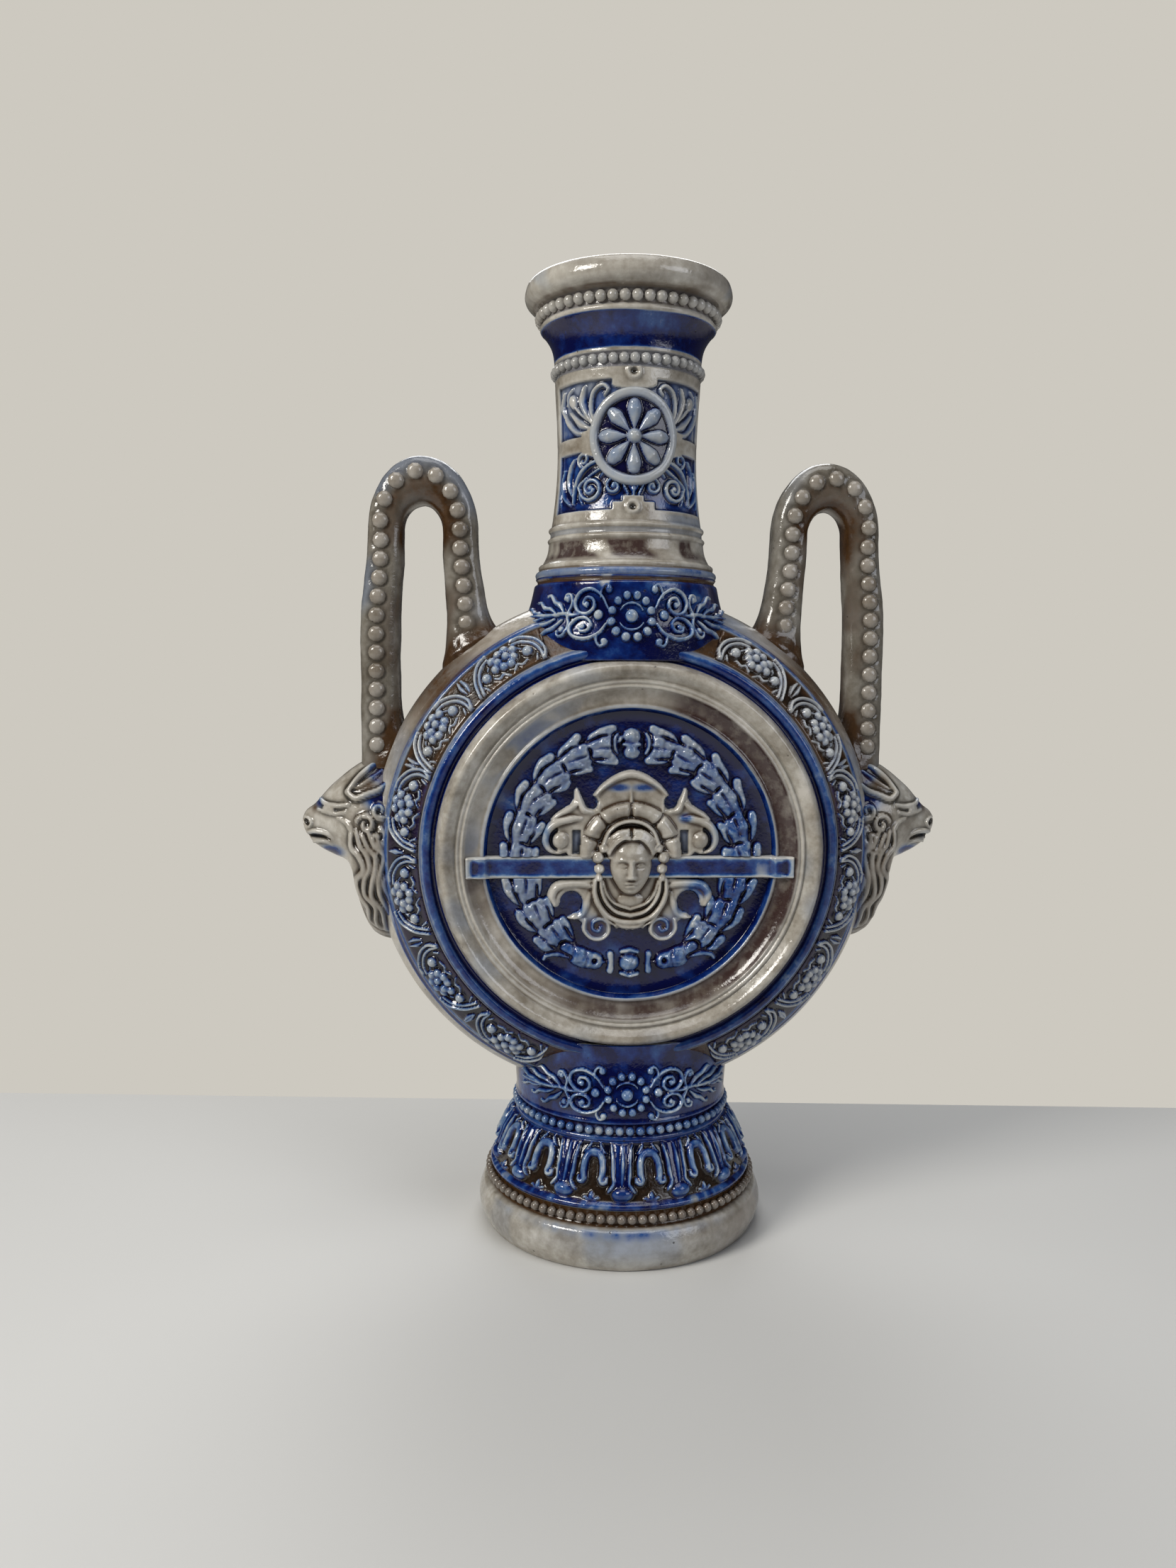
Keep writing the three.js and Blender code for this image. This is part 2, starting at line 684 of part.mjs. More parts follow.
// Half a leaf wreath, notched where leaf follows leaf, with a knot in its middle.
function wreath(up) {
  const steps = wreathLeaves;
  const outline = [];
  for (const edge of [1, -1]) {
    for (let i = 0; i <= steps; i += 1) {
      const t = edge === 1 ? i / steps : 1 - i / steps;
      const notch = i % 2 === 0 ? 0.7 : 1;
      const r = wreathRadius + (edge * notch * wreathWidth) / 2;
      outline.push(new THREE.Vector2(r * Math.cos(Math.PI * t), up * r * Math.sin(Math.PI * t)));
    }
  }
  const options = { depth: sprigHeight, bevelEnabled: false };
  const ring = new THREE.ExtrudeGeometry(new THREE.Shape(outline), options);
  const knot = new THREE.CylinderGeometry(knotWidth / 2, knotWidth / 2, knotLength, 8)
    .rotateZ(Math.PI / 2)
    .translate(0, up * wreathRadius, 0);
  const floor = fieldDepth + luteGap;
  const tied = fuse(facing(ring.translate(0, 0, floor)), facing(knot.translate(0, 0, floor)));
  const under = facing(new THREE.BoxGeometry(bodyRadius, 2 * bodyRadius, floor).translate(0, 0, floor / 2));
  const strapEdge = bodyCentre - strapDrop + up * (strapHeight / 2 + luteGap);
  const beyond = box(2 * bodyRadius, 4 * torusDepth, bodyRadius, 0, 0, strapEdge - (up * bodyRadius) / 2);
  return cut(tied, under, beyond);
}

// Right half of the cartouche outline, from its pointed top down to the drapery. It is drawn 43.4
// units high.
function cartoucheHalf() {
  const unit = cartoucheHeight / 43.4;
  const at = (x, y) => new THREE.Vector2(x * unit, y * unit);
  const arc = (x, y, r, from, to, steps) => {
    const points = [];
    for (let i = 0; i <= steps; i += 1) {
      const angle = THREE.MathUtils.degToRad(from + ((to - from) * i) / steps);
      points.push(at(x + r * Math.cos(angle), y + r * Math.sin(angle)));
    }
    return points;
  };
  return [
    at(0, 21.3), at(4.8, 19.4), at(9.4, 15.9),
    ...arc(10.1, 13.2, 1.6, 110, 330, 3),              // round notch under the arch
    at(13.4, 16.7), at(14.2, 14), at(16.6, 11.6), at(20, 9.2),
    ...arc(18.4, 3.8, 3.9, 45, -110, 4),               // upper volute
    at(16, -1), at(16, -5.4), at(18.4, -6.6),
    ...arc(17.6, -10.2, 3.7, 45, -60, 2),              // lower scroll
    ...arc(14.9, -12.2, 2.8, 20, 260, 4),
    at(15.7, -16.2), at(12.2, -17.2),
    ...arc(8.1, -18.8, 3.3, 0, -170, 3),               // small volute
    at(3, -19.2), at(0, -19.7),
  ];
}

// A small head in the middle of a scrolled cartouche. The strap passes behind the head.
function mask() {
  const half = cartoucheHalf();
  const outline = [...half, ...half.slice(1, -1).map((p) => new THREE.Vector2(-p.x, p.y)).reverse()];
  const plate = new THREE.ExtrudeGeometry(new THREE.Shape(outline), { depth: sprigHeight, bevelEnabled: false });
  const head = new THREE.SphereGeometry(1, 10, 6)
    .rotateX(Math.PI / 2)
    .scale(faceWidth / 2, faceHeight / 2, faceRise)
    .translate(0, -strapDrop, 0);
  const nose = new THREE.ConeGeometry(faceWidth / 10, faceHeight / 3.5, 4)
    .rotateY(Math.PI / 4)
    .translate(0, -strapDrop, faceRise - noseSink);
  const raised = fuse(facing(plate.translate(0, 0, fieldDepth + luteGap)),
    facing(head.translate(0, 0, fieldDepth)), facing(nose.translate(0, 0, fieldDepth)));
  const under = facing(new THREE.BoxGeometry(bodyRadius, bodyRadius, fieldDepth)
    .translate(0, 0, fieldDepth / 2 + luteGap));
  const tunnel = box(2 * fieldRadius, fieldDepth + strapThickness + luteGap, strapHeight + 2 * luteGap, 0,
    -(fieldDepth + strapThickness + luteGap) / 2, bodyCentre - strapDrop);
  return cut(raised, under, tunnel);
}

// Bends a flat piece, facing +Z, round the neck at a height.
function roundNeck(geometry, radius, height) {
  const place = geometry.getAttribute('position');
  for (let i = 0; i < place.count; i += 1) {
    const [x, y, z] = [place.getX(i), place.getY(i), place.getZ(i)];
    const angle = x / radius;
    place.setXYZ(i, (radius + z) * Math.sin(angle), -(radius + z) * Math.cos(angle), height + y);
  }
  return geometry;
}

// Round boss of eight petals with a raised rim, bent round the waist of the neck.
function rosette() {
  const petalRadius = rosetteRadius / 2;
  const profile = [
    [0, 0], [rosetteRadius, 0], [rosetteRadius, rosetteHeight], [rosetteRadius - 2.2, rosetteHeight],
    [rosetteRadius - 2.8, rosetteHeight / 2], [petalRadius, rosetteHeight / 2], [2.2, rosetteHeight / 2],
    [0, rosetteHeight + 1],
  ];
  const disc = turned(profile, 2 * rosettePetals).translate(0, 0, -rosetteHeight / 2);
  const place = disc.getAttribute('position');
  for (let i = 0; i < place.count; i += 1) {
    const [x, y, z] = [place.getX(i), place.getY(i), place.getZ(i)];
    const isPetal = z > -rosetteHeight / 4 && Math.abs(Math.hypot(x, y) - petalRadius) < 0.1;
    const ridge = isPetal ? (petalRise * (1 + Math.cos(rosettePetals * Math.atan2(x, y)))) / 2 : 0;
    place.setZ(i, z + ridge);
  }
  return cut(roundNeck(disc, neckWaistRadius + rosetteHeight / 2, rosetteMiddle), neckSeat());
}

// A pressed strip of grape vine on the sloping edge of the body, between two angles. A pair of stems
// makes a rib that widens outwards, and a bunch of grapes lies between every two ribs.
function vine(from, to) {
  const unit = THREE.MathUtils.degToRad(to - from) / vineUnits;
  const slope = (vineTopDepth - vineFootDepth) / vineWidth;
  // a point so many units along, at a share of the way in from the outer edge, and its rise over the slope
  const at = (along, share, rise) => {
    const angle = THREE.MathUtils.degToRad(from) + unit * along;
    const across = vineInset + (vineWidth - 2 * vineInset) * share;
    const r = rimRidgeRadius - across;
    return new THREE.Vector3(r * Math.cos(angle), r * Math.sin(angle), vineFootDepth + slope * across + rise);
  };
  const ring = (outer, inner, rise) => [
    at(inner, 1, -vineRoot), at(outer, 0, -vineRoot),
    at(outer, 0, vineGround + rise / 2), at(inner, 1, vineGround + rise),
  ];
  const rings = [ring(0, 0, vineStemRise)];
  const bunches = [];
  for (let i = 0; i < vineUnits; i += 1) {
    rings.push(
      ring(i + vineRibOuter, i + vineRibInner, 0), ring(i + 1 - vineRibOuter, i + 1 - vineRibInner, 0),
      ring(i + 1, i + 1, vineStemRise),
    );
    const spot = at(i + 0.5, 0.5, vineGround);
    bunches.push(new THREE.SphereGeometry(1, 5, 3).rotateX(Math.PI / 2)
      .scale(bunchLength / 2, bunchWidth / 2, bunchRise)
      .rotateZ(Math.atan2(spot.y, spot.x) + Math.PI / 2)
      .translate(spot.x, spot.y, spot.z));
  }
  return cut(facing(fuse(lofted(rings), ...bunches)), bodySeat(), collarSkin(luteGap), shoulderSkin(luteGap));
}

const bottle = new THREE.Group();

function place(group, name, geometry, glaze) {
  const mesh = new THREE.Mesh(joined(geometry), new THREE.MeshStandardMaterial(glaze));
  mesh.name = name;
  group.add(mesh);
}

place(bottle, 'foot', foot(), greyGlaze);
place(bottle, 'foot_collar', collar(), blueGlaze);
place(bottle, 'shoulder', shoulder(), blueGlaze);
place(bottle, 'neck', neck(), greyGlaze);
place(bottle, 'mouth', mouth(), greyGlaze);

// Both faces come from the same mould: the back is the front turned half round.
for (const side of ['front', 'back']) {
  const face = new THREE.Group();
  if (side === 'back') face.rotation.z = Math.PI;
  bottle.add(face);
  place(face, `body_${side}`, bodyHalf(), greyGlaze);
  place(face, `${side}_strap`, strap(), blueGlaze);
  place(face, `${side}_wreath_upper`, wreath(1), blueGlaze);
  place(face, `${side}_wreath_lower`, wreath(-1), blueGlaze);
  place(face, `${side}_mask`, mask(), greyGlaze);
  place(face, `${side}_rosette`, rosette(), greyGlaze);
  const collarMiddle = footHeight + collarBeadHeight + collarScrollLift;
  place(face, `${side}_collar_scroll`, scroll(collarSkin, collarMiddle), blueGlaze);
  const shoulderMiddle = shoulderFoot + shoulderSkirt + shoulderScrollLift;
  place(face, `${side}_shoulder_scroll`, scroll(shoulderSkin, shoulderMiddle), blueGlaze);
  place(face, `${side}_vine_left`, vine(vineStart, vineEnd), blueGlaze);
  place(face, `${side}_vine_right`, vine(vineStart - 180, vineEnd - 180), blueGlaze);
}

for (const side of ['left', 'right']) {
  const flank = new THREE.Group();
  if (side === 'right') flank.rotation.z = Math.PI;
  bottle.add(flank);
  place(flank, `${side}_handle`, handle(), greyGlaze);
  place(flank, `${side}_ram_head`, ramHead(), greyGlaze);
}

export default bottle;
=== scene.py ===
import bpy
import math
import numpy as np
from functools import partial
from mathutils import Matrix, Vector


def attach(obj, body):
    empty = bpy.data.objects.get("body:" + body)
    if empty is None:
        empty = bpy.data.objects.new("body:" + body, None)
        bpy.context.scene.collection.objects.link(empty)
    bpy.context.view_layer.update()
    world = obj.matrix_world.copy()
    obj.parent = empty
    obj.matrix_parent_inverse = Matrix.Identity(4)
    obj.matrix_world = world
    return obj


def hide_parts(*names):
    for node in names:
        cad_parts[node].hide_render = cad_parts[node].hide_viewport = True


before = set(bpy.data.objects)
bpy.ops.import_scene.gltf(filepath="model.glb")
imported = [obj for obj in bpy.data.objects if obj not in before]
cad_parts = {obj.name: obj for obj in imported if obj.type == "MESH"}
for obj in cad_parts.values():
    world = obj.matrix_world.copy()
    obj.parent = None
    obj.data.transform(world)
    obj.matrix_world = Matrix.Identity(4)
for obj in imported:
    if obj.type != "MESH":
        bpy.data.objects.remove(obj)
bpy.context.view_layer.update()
mm = 0.001


def linear(code):
    # sRGB hex to linear light, channel by channel
    rgb = np.array([int(code[i:i + 2], 16) / 255 for i in (1, 3, 5)])
    rgb = np.where(rgb <= 0.04045, rgb / 12.92, ((rgb + 0.055) / 1.055) ** 2.4)
    return (*rgb.tolist(), 1.0)


def addNode(tree, kind, settings=None, links=None):
    # one node with its settings, stops of a colour ramp among them; a socket takes a value, an output or a
    # node, whose first output is meant
    made = tree.nodes.new("ShaderNode" + kind)
    for key, value in (settings or {}).items():
        if key != "stops":
            setattr(made, key, value)
            continue
        while len(made.color_ramp.elements) < len(value):
            made.color_ramp.elements.new(0.5)
        for element, (at, colour) in zip(made.color_ramp.elements, value):
            element.position = at
            element.color = linear(colour) if isinstance(colour, str) else (colour, colour, colour, 1)
    for key, value in (links or {}).items():
        value = value.outputs[0] if isinstance(value, bpy.types.Node) else value
        if isinstance(value, bpy.types.NodeSocket):
            tree.links.new(value, made.inputs[key])
        else:
            made.inputs[key].default_value = value
    return made


# Salt-glazed stoneware: grey clay under a thin, glassy skin that salt vapour leaves in the kiln, with a
# fine orange peel. Cobalt painted under it runs off the raised edges and pools deep in the grooves;
# manganese gives the purple brown. The map attribute holds cobalt, brown, crest and manganese; from the
# crest the glaze also takes painted shade in the hollows and a painted highlight on the crests.
glazeLook = {
    "clayLight": "#C6C4BE", "clay": "#A3A098", "clayDark": "#7A756C", "clayWarm": "#8F795A",
    "cobalt": [(0.05, "#A0A9B1"), (0.26, "#627C9E"), (0.48, "#264982"), (0.75, "#082362"), (1.0, "#01063A")],
    "brown": "#583D23", "brownDeep": "#20150C", "manganese": "#33201F",
    # width of a swell in mm, detail and roughness: clouds, mottle, warm clouds, orange peel, pits
    "swells": [(11.0, 3.0, 0.6), (2.2, 4.0, 0.65), (25.3, 2.0, 0.5), (0.9, 2.0, 0.5), (0.35, 1.0, 0.5)],
    "speckGap": 2.6, "peelDepth": 0.13, "roughness": 0.14, "coat": 0.2, "coatRoughness": 0.05, "ior": 1.5,
}


def glazeMaterial(name, look):
    material = bpy.data.materials.new(name)
    material.use_nodes = True
    material.node_tree.nodes.clear()
    add = partial(addNode, material.node_tree)
    times, plus, minus, timesPlus = (
        {"operation": kind} for kind in ("MULTIPLY", "ADD", "SUBTRACT", "MULTIPLY_ADD"))
    timesCapped, minusCapped = {**times, "use_clamp": True}, {**minus, "use_clamp": True}
    cover, stain = {"data_type": "RGBA"}, {"data_type": "RGBA", "blend_type": "MULTIPLY"}
    place = add("TexCoord").outputs["Object"]
    glazeMap = add("Attribute", {"attribute_name": "glazeMap"})
    cobalt, brown, crest = add("SeparateColor", {}, {0: glazeMap}).outputs[:3]
    cloud, mottle, warmth, peel, pit = (
        add("TexNoise", {}, {"Vector": place, "Scale": 1 / (wide * mm), "Detail": detail, "Roughness": rough})
        for wide, detail, rough in look["swells"])

    # bare clay is cloudy grey
    clay = add("Math", plus, {0: add("Math", times, {0: cloud, 1: 0.65}),
                              1: add("Math", times, {0: mottle, 1: 0.35})})
    clays = [(0.36, look["clayDark"]), (0.5, look["clay"]), (0.64, look["clayLight"])]
    clay = add("ValToRGB", {"stops": clays}, {0: clay})

    # cobalt is thick in the hollows and in cloudy patches, thin on the crests, a wash where there is little
    swing = add("Math", plus, {0: add("Math", timesPlus, {0: cloud, 1: 1.1, 2: -0.55}),
                               1: add("Math", timesPlus, {0: mottle, 1: 0.8, 2: -0.4})})
    strength = add("Math", timesCapped, {0: add("Math", times, {0: cobalt, 1: cobalt}), 1: 3.0})
    swing = add("Math", times, {0: swing, 1: strength})
    runOff = add("Math", times, {0: add("Math", minus, {0: crest, 1: 0.5}),
                                 1: add("Math", times, {0: cobalt, 1: 1.6})})
    thick = add("Math", minusCapped, {0: add("Math", plus, {0: cobalt, 1: swing}), 1: runOff})
    painted = add("ValToRGB", {"stops": [(0.06, 0.0), (0.5, 1.0)]},
                  {0: add("Math", timesPlus, {0: swing, 1: 0.8, 2: cobalt})})

    # brown ground and grime: only where the map says so, and most in the hollows
    low = add("ValToRGB", {"stops": [(0.35, 1.0), (0.62, 0.12)]}, {0: crest})
    reach = add("Math", timesPlus, {0: add("Math", minus, {0: 1.0, 1: low}), 1: brown, 2: low})
    reach = add("Math", times, {0: reach, 1: add("Math", timesPlus, {0: mottle, 1: 0.9, 2: 0.55})})
    soil = add("Math", timesCapped, {0: brown, 1: reach})
    earth = add("Mix", cover, {0: mottle, 6: linear(look["brownDeep"]), 7: linear(look["brown"])}).outputs[2]
    patchy = add("ValToRGB", {"stops": [(0.32, 0.55), (0.52, 1.0)]}, {0: mottle})
    purple = add("Math", timesCapped, {0: glazeMap.outputs["Alpha"], 1: patchy})

    # iron specks in the clay, in every fifth cell or so
    cells = add("TexVoronoi", {}, {"Vector": place, "Scale": 1 / (look["speckGap"] * mm)})
    speck = add("Math", times, {
        0: add("ValToRGB", {"stops": [(0.8, 0.0), (0.84, 1.0)]}, {0: cells.outputs["Color"]}),
        1: add("ValToRGB", {"stops": [(0.06, 1.0), (0.14, 0.0)]}, {0: cells.outputs["Distance"]})})

    # the layers, from the clay up: painted shade in the hollows and a painted highlight on the crests,
    # paint, soil, and painted shade that turns the deepest creases nearly black, with glaze gathered there
    colour, light, dark = clay, linear(look["clayLight"]), linear(look["clayDark"])
    for settings, share, tint in (
            (cover, add("Math", times, {0: warmth, 1: 0.3}), linear(look["clayWarm"])),
            # painted shade: clay darkened towards the hollows
            (stain, add("ValToRGB", {"stops": [(0.25, 0.85), (0.5, 0.0)]}, {0: crest}), dark),
            # painted highlight: clay lightened towards the crests
            (cover, add("ValToRGB", {"stops": [(0.55, 0.0), (1.0, 0.5)]}, {0: crest}), light),
            (cover, painted, add("ValToRGB", {"stops": look["cobalt"]}, {0: thick})),
            (cover, add("Math", timesCapped, {0: soil, 1: 1.15}), earth),
            (cover, add("Math", times, {0: purple, 1: 0.94}), linear(look["manganese"])),
            # painted shade: every colour darkened in the deepest creases
            (stain, 1.0, add("ValToRGB", {"stops": [(0.06, 0.22), (0.4, 1.0)]}, {0: crest})),
            (cover, add("Math", times, {0: speck, 1: 0.75}), linear(look["brownDeep"]))):
        colour = add("Mix", settings, {0: share, 6: colour, 7: tint}).outputs[2]

    height = add("Math", minus, {0: add("Math", timesPlus, {0: pit, 1: 0.25, 2: peel}),
                                 1: add("Math", times, {0: speck, 1: 1.5})})
    bump = add("Bump", {}, {"Height": height, "Strength": 0.6, "Distance": look["peelDepth"] * mm})
    rough = add("Math", plus, {0: add("Math", timesPlus, {0: mottle, 1: 0.16, 2: look["roughness"] - 0.08}),
                               1: add("Math", times, {0: soil, 1: 0.08})})
    shader = add("BsdfPrincipled", {}, {
        "Base Color": colour, "Roughness": rough, "Normal": bump, "IOR": look["ior"],
        "Coat Weight": look["coat"], "Coat Roughness": look["coatRoughness"]})
    add("OutputMaterial", {}, {"Surface": shader})
    return material


saltGlaze = {slotName: glazeMaterial(name, glazeLook) for slotName, name in (
    ("grey_salt_glaze", "greySaltGlazedStoneware"), ("cobalt_salt_glaze", "cobaltSaltGlazedStoneware"))}


def soften(values, cells):
    # average over a square that reaches that many cells to each side
    for axis in (0, 1):
        pad = [(0, 0), (0, 0)]
        pad[axis] = (cells + 1, cells)
        run = np.cumsum(np.pad(values, pad, mode="edge"), axis=axis)
        upper = np.take(run, range(2 * cells + 1, run.shape[axis]), axis=axis)
        lower = np.take(run, range(0, run.shape[axis] - 2 * cells - 1), axis=axis)
        values = (upper - lower) / (2 * cells + 1)
    return values


def crestMap(sheet, cells, scale):
    # 0.5 on level ground, towards 1 on crests and towards 0 in hollows
    average = soften(soften(sheet["h"], cells), cells)
    return np.clip(0.5 + (sheet["h"] - average) / (2 * scale), 0, 1)


def waves(points, size, seed, count=14):
    # smooth random field around 0: a sum of cosines along random directions, one swell per size in mm
    pick = np.random.default_rng(seed)
    ways = pick.normal(size=(count, 3)) * (2 * math.pi / size) * 0.6
    shift = pick.uniform(0, 2 * math.pi, count)
    return np.cos(points @ ways.T + shift).sum(-1) / math.sqrt(count / 2)


def step(low, high, value):
    t = np.clip((value - low) / (high - low), 0, 1)
    return t * t * (3 - 2 * t)


def band(low, high, value, edge=0.4):
    return step(low - edge, low + edge, value) * (1 - step(high - edge, high + edge, value))


def bell(value, middle, wide):
    return np.exp(-((value - middle) / wide) ** 2)


def smoothLine(points, spacing=0.14):
    # Catmull-Rom curve through the points, sampled at an even share of every span
    p = np.array(points, float)
    row = np.vstack([2 * p[:1] - p[1:2], p, 2 * p[-1:] - p[-2:-1]])
    t = np.linspace(0, len(p) - 1, max(6, int(lengthMarks(p)[-1] / spacing)))
    i = np.minimum(t.astype(int), len(p) - 2)
    f = (t - i)[:, None]
    a, b, c, d = row[i], row[i + 1], row[i + 2], row[i + 3]
    square, cube = 2 * a - 5 * b + 4 * c - d, 3 * b - a - 3 * c + d
    return 0.5 * (2 * b + (c - a) * f + square * f ** 2 + cube * f ** 3)


def lengthMarks(points):
    # the way along a line at each of its points
    return np.concatenate([[0], np.cumsum(np.linalg.norm(np.diff(points, axis=0), axis=1))])


def spaced(points, gap):
    # the same line with points an even gap apart
    p = np.array(points, float)
    marks = lengthMarks(p)
    even = np.linspace(0, marks[-1], max(2, int(round(marks[-1] / gap)) + 1))
    return np.stack([np.interp(even, marks, p[:, i]) for i in range(p.shape[1])], -1)


def newSheet(x0, x1, y0, y1, cell):
    # a drawing sheet: an even grid in mm with a height over the ground
    xs, ys = np.arange(x0, x1 + cell / 2, cell), np.arange(y0, y1 + cell / 2, cell)
    x, y = np.meshgrid(xs, ys)
    return {"x": x, "y": y, "h": np.zeros(x.shape), "xs": xs, "ys": ys, "cell": cell}


def nearest(sheet, line, half):
    # for every grid point: distance to the line over its half width there, and the sample's number
    q, k = np.full(sheet["x"].shape, 9.0), np.zeros(sheet["x"].shape, int)
    for first in range(0, len(line), 24):
        part = slice(first, first + 25)
        spots, reach = line[part], half[part]
        pad = reach.max()
        lo, hi = spots.min(0) - pad, spots.max(0) + pad
        c = slice(*np.searchsorted(sheet["xs"], [lo[0], hi[0]]))
        r = slice(*np.searchsorted(sheet["ys"], [lo[1], hi[1]]))
        if c.start == c.stop or r.start == r.stop:
            continue
        gap = np.hypot(sheet["x"][r, c, None] - spots[:, 0], sheet["y"][r, c, None] - spots[:, 1]) / reach
        j = gap.argmin(-1)
        gap = gap.min(-1)
        closer = gap < q[r, c]
        q[r, c] = np.where(closer, gap, q[r, c])
        k[r, c] = np.where(closer, j + first, k[r, c])
    return q, k


sections = {
    "round": lambda q: np.sqrt(np.clip(1 - q * q, 0, 1)),
    "flat": lambda q: np.sqrt(np.clip((1 - q) / 0.4, 0, 1)),
    "sharp": lambda q: np.clip(1 - q, 0, 1) ** 0.75,
    "leaf": lambda q: 0.7 * np.sqrt(np.clip(1 - q * q, 0, 1)) + 0.3 * np.exp(-(q / 0.22) ** 2),
}


def lay(sheet, lift, over=False):
    # clay laid on the sheet, melted in where it lies lower, or added over what is there
    sheet["h"] = sheet["h"] + lift if over else np.maximum(sheet["h"], lift)


def lineOf(points, width, height):
    # a smooth line with its half width and its height at every sample
    line = smoothLine(points)
    share = np.linspace(0, 1, len(line))
    half, rise = (np.interp(share, np.linspace(0, 1, len(row)), row)
                  for row in (np.atleast_1d(width), np.atleast_1d(height)))
    return line, half / 2, rise


def stroke(sheet, points, width, height, section="round", over=False):
    # a roll of clay along a smooth line: height times a section of (distance / half width)
    line, half, rise = lineOf(points, width, height)
    q, k = nearest(sheet, line, half)
    lay(sheet, rise[k] * sections[section](q) * (q < 1), over)


def carved(sheet, points, width, height, section, moat=0.25, floor=0.5):
    # a stroke laid over what is there, with a narrow moat round it
    line, half, rise = lineOf(points, width, height)
    q, k = nearest(sheet, line, half + moat)
    q = q * ((half + moat) / half)[k]
    near = q * half[k] < half[k] + moat
    sheet["h"] = np.where(near, np.minimum(sheet["h"], floor), sheet["h"])
    lay(sheet, rise[k] * sections[section](q) * (q < 1))


def moved(points, side=1, shift=0.0):
    # x and y in turn, mirrored where side is -1 and shifted along x
    return np.reshape(points, (-1, 2)) * [side, 1] + [shift, 0]


def draw(sheet, strokes, side=1, shift=0.0, tool=stroke):
    # a table of strokes, one row each: points, width, height and what else the tool takes
    for points, *rest in strokes:
        tool(sheet, moved(points, side, shift), *rest)


def dome(sheet, x, y, radius, height, stretch=1.0, turn=0.0, over=False):
    # half an ellipsoid: height times the root of one less the square of the distance over the radius
    c, s = math.cos(math.radians(turn)), math.sin(math.radians(turn))
    dx, dy = sheet["x"] - x, sheet["y"] - y
    q = np.hypot((dx * c + dy * s) / (radius * stretch), (dy * c - dx * s) / radius)
    lay(sheet, height * np.sqrt(np.clip(1 - q * q, 0, 1)), over)


def plate(sheet, outline, height, edge):
    # a slab with rounded edges, at full height further than edge from its outline; the even-odd rule
    # against all sides of the outline tells what lies within
    outline = np.array(outline, float)
    ring = np.vstack([outline, outline[:1]])
    marks = lengthMarks(ring)
    even = np.linspace(0, marks[-1], int(marks[-1] / 0.12))
    line = np.stack([np.interp(even, marks, ring[:, i]) for i in (0, 1)], -1)
    q, _ = nearest(sheet, line, np.full(len(line), edge))
    within = np.zeros(sheet["x"].shape, bool)
    for (x0, y0), (x1, y1) in zip(ring[:-1], ring[1:]):
        if y0 != y1:
            cross = (y0 > sheet["y"]) != (y1 > sheet["y"])
            within ^= cross & (sheet["x"] < (x1 - x0) * (sheet["y"] - y0) / (y1 - y0) + x0)
    lay(sheet, height * np.sqrt(np.clip(1 - (1 - np.minimum(q, 1)) ** 2, 0, 1)) * within)


def sample(sheet, values, x, y):
    # bilinear reading of a grid of values at places in mm
    i = np.clip((y - sheet["ys"][0]) / sheet["cell"], 0, len(sheet["ys"]) - 1.001)
    j = np.clip((x - sheet["xs"][0]) / sheet["cell"], 0, len(sheet["xs"]) - 1.001)
    i0, j0 = i.astype(int), j.astype(int)
    fi, fj = i - i0, j - j0
    low = values[i0, j0] * (1 - fj) + values[i0, j0 + 1] * fj
    high = values[i0 + 1, j0] * (1 - fj) + values[i0 + 1, j0 + 1] * fj
    return low * (1 - fi) + high * fi


def addPiece(name, points, quads, tris, glaze, slotName, nodes=()):
    # points in mm; faces turn outwards if the volume inside them counts positive
    points = points.reshape(-1, 3)
    a, b, c, d = (points[quads[:, i]] for i in range(4))
    volume = (np.cross(b - a, c - a) * a).sum() + (np.cross(c - a, d - a) * a).sum()
    if len(tris):
        t = points[tris]
        volume += (np.cross(t[:, 1] - t[:, 0], t[:, 2] - t[:, 0]) * t[:, 0]).sum()
    if volume < 0:
        quads, tris = quads[:, ::-1], tris[:, ::-1]
    mesh = bpy.data.meshes.new(name)
    mesh.vertices.add(len(points))
    mesh.vertices.foreach_set("co", (points * mm).astype(np.float32).ravel())
    corners = np.concatenate([quads.ravel(), tris.ravel()]).astype(np.int32)
    starts = np.concatenate([np.arange(len(quads)) * 4, len(quads) * 4 + np.arange(len(tris)) * 3])
    mesh.loops.add(len(corners))
    mesh.loops.foreach_set("vertex_index", corners)
    mesh.polygons.add(len(starts))
    mesh.polygons.foreach_set("loop_start", starts.astype(np.int32))
    mesh.polygons.foreach_set("use_smooth", np.ones(len(starts), bool))
    mesh.update(calc_edges=True)
    mesh.validate()
    layer = mesh.color_attributes.new("glazeMap", "FLOAT_COLOR", "POINT")
    layer.data.foreach_set("color", glaze.reshape(-1, 4).astype(np.float32).ravel())
    mesh.materials.append(saltGlaze[slotName])
    piece = bpy.data.objects.new(name, mesh)
    bpy.context.scene.collection.objects.link(piece)
    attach(piece, "root")
    if nodes:
        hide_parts(*nodes)
    print(name, len(quads) * 2 + len(tris), "triangles")
    return piece


def gridQuads(rows, columns, wrapRows, wrapColumns):
    i, j = np.meshgrid(np.arange(rows if wrapRows else rows - 1),
                       np.arange(columns if wrapColumns else columns - 1), indexing="ij")
    here, above = i * columns, (i + 1) % rows * columns
    right = (j + 1) % columns
    return np.stack([here + j, here + right, above + right, above + j], -1).reshape(-1, 4)


def fan(centre, first, columns, turned=False):
    # triangles from one point to a ring of points that starts at first
    j = np.arange(columns)
    here, there = first + j, first + (j + 1) % columns
    return np.stack([np.full(columns, centre), *((there, here) if turned else (here, there))], -1)


def tubeEnds(rows, columns):
    # both ends of a tube, closed by its last two points
    return np.vstack([fan(rows * columns, 0, columns, True),
                      fan(rows * columns + 1, (rows - 1) * columns, columns)])


def mapOf(cobalt=0.0, brown=0.0, crest=0.5, manganese=0.0):
    return np.stack(np.broadcast_arrays(cobalt, brown, crest, manganese), -1).astype(float)


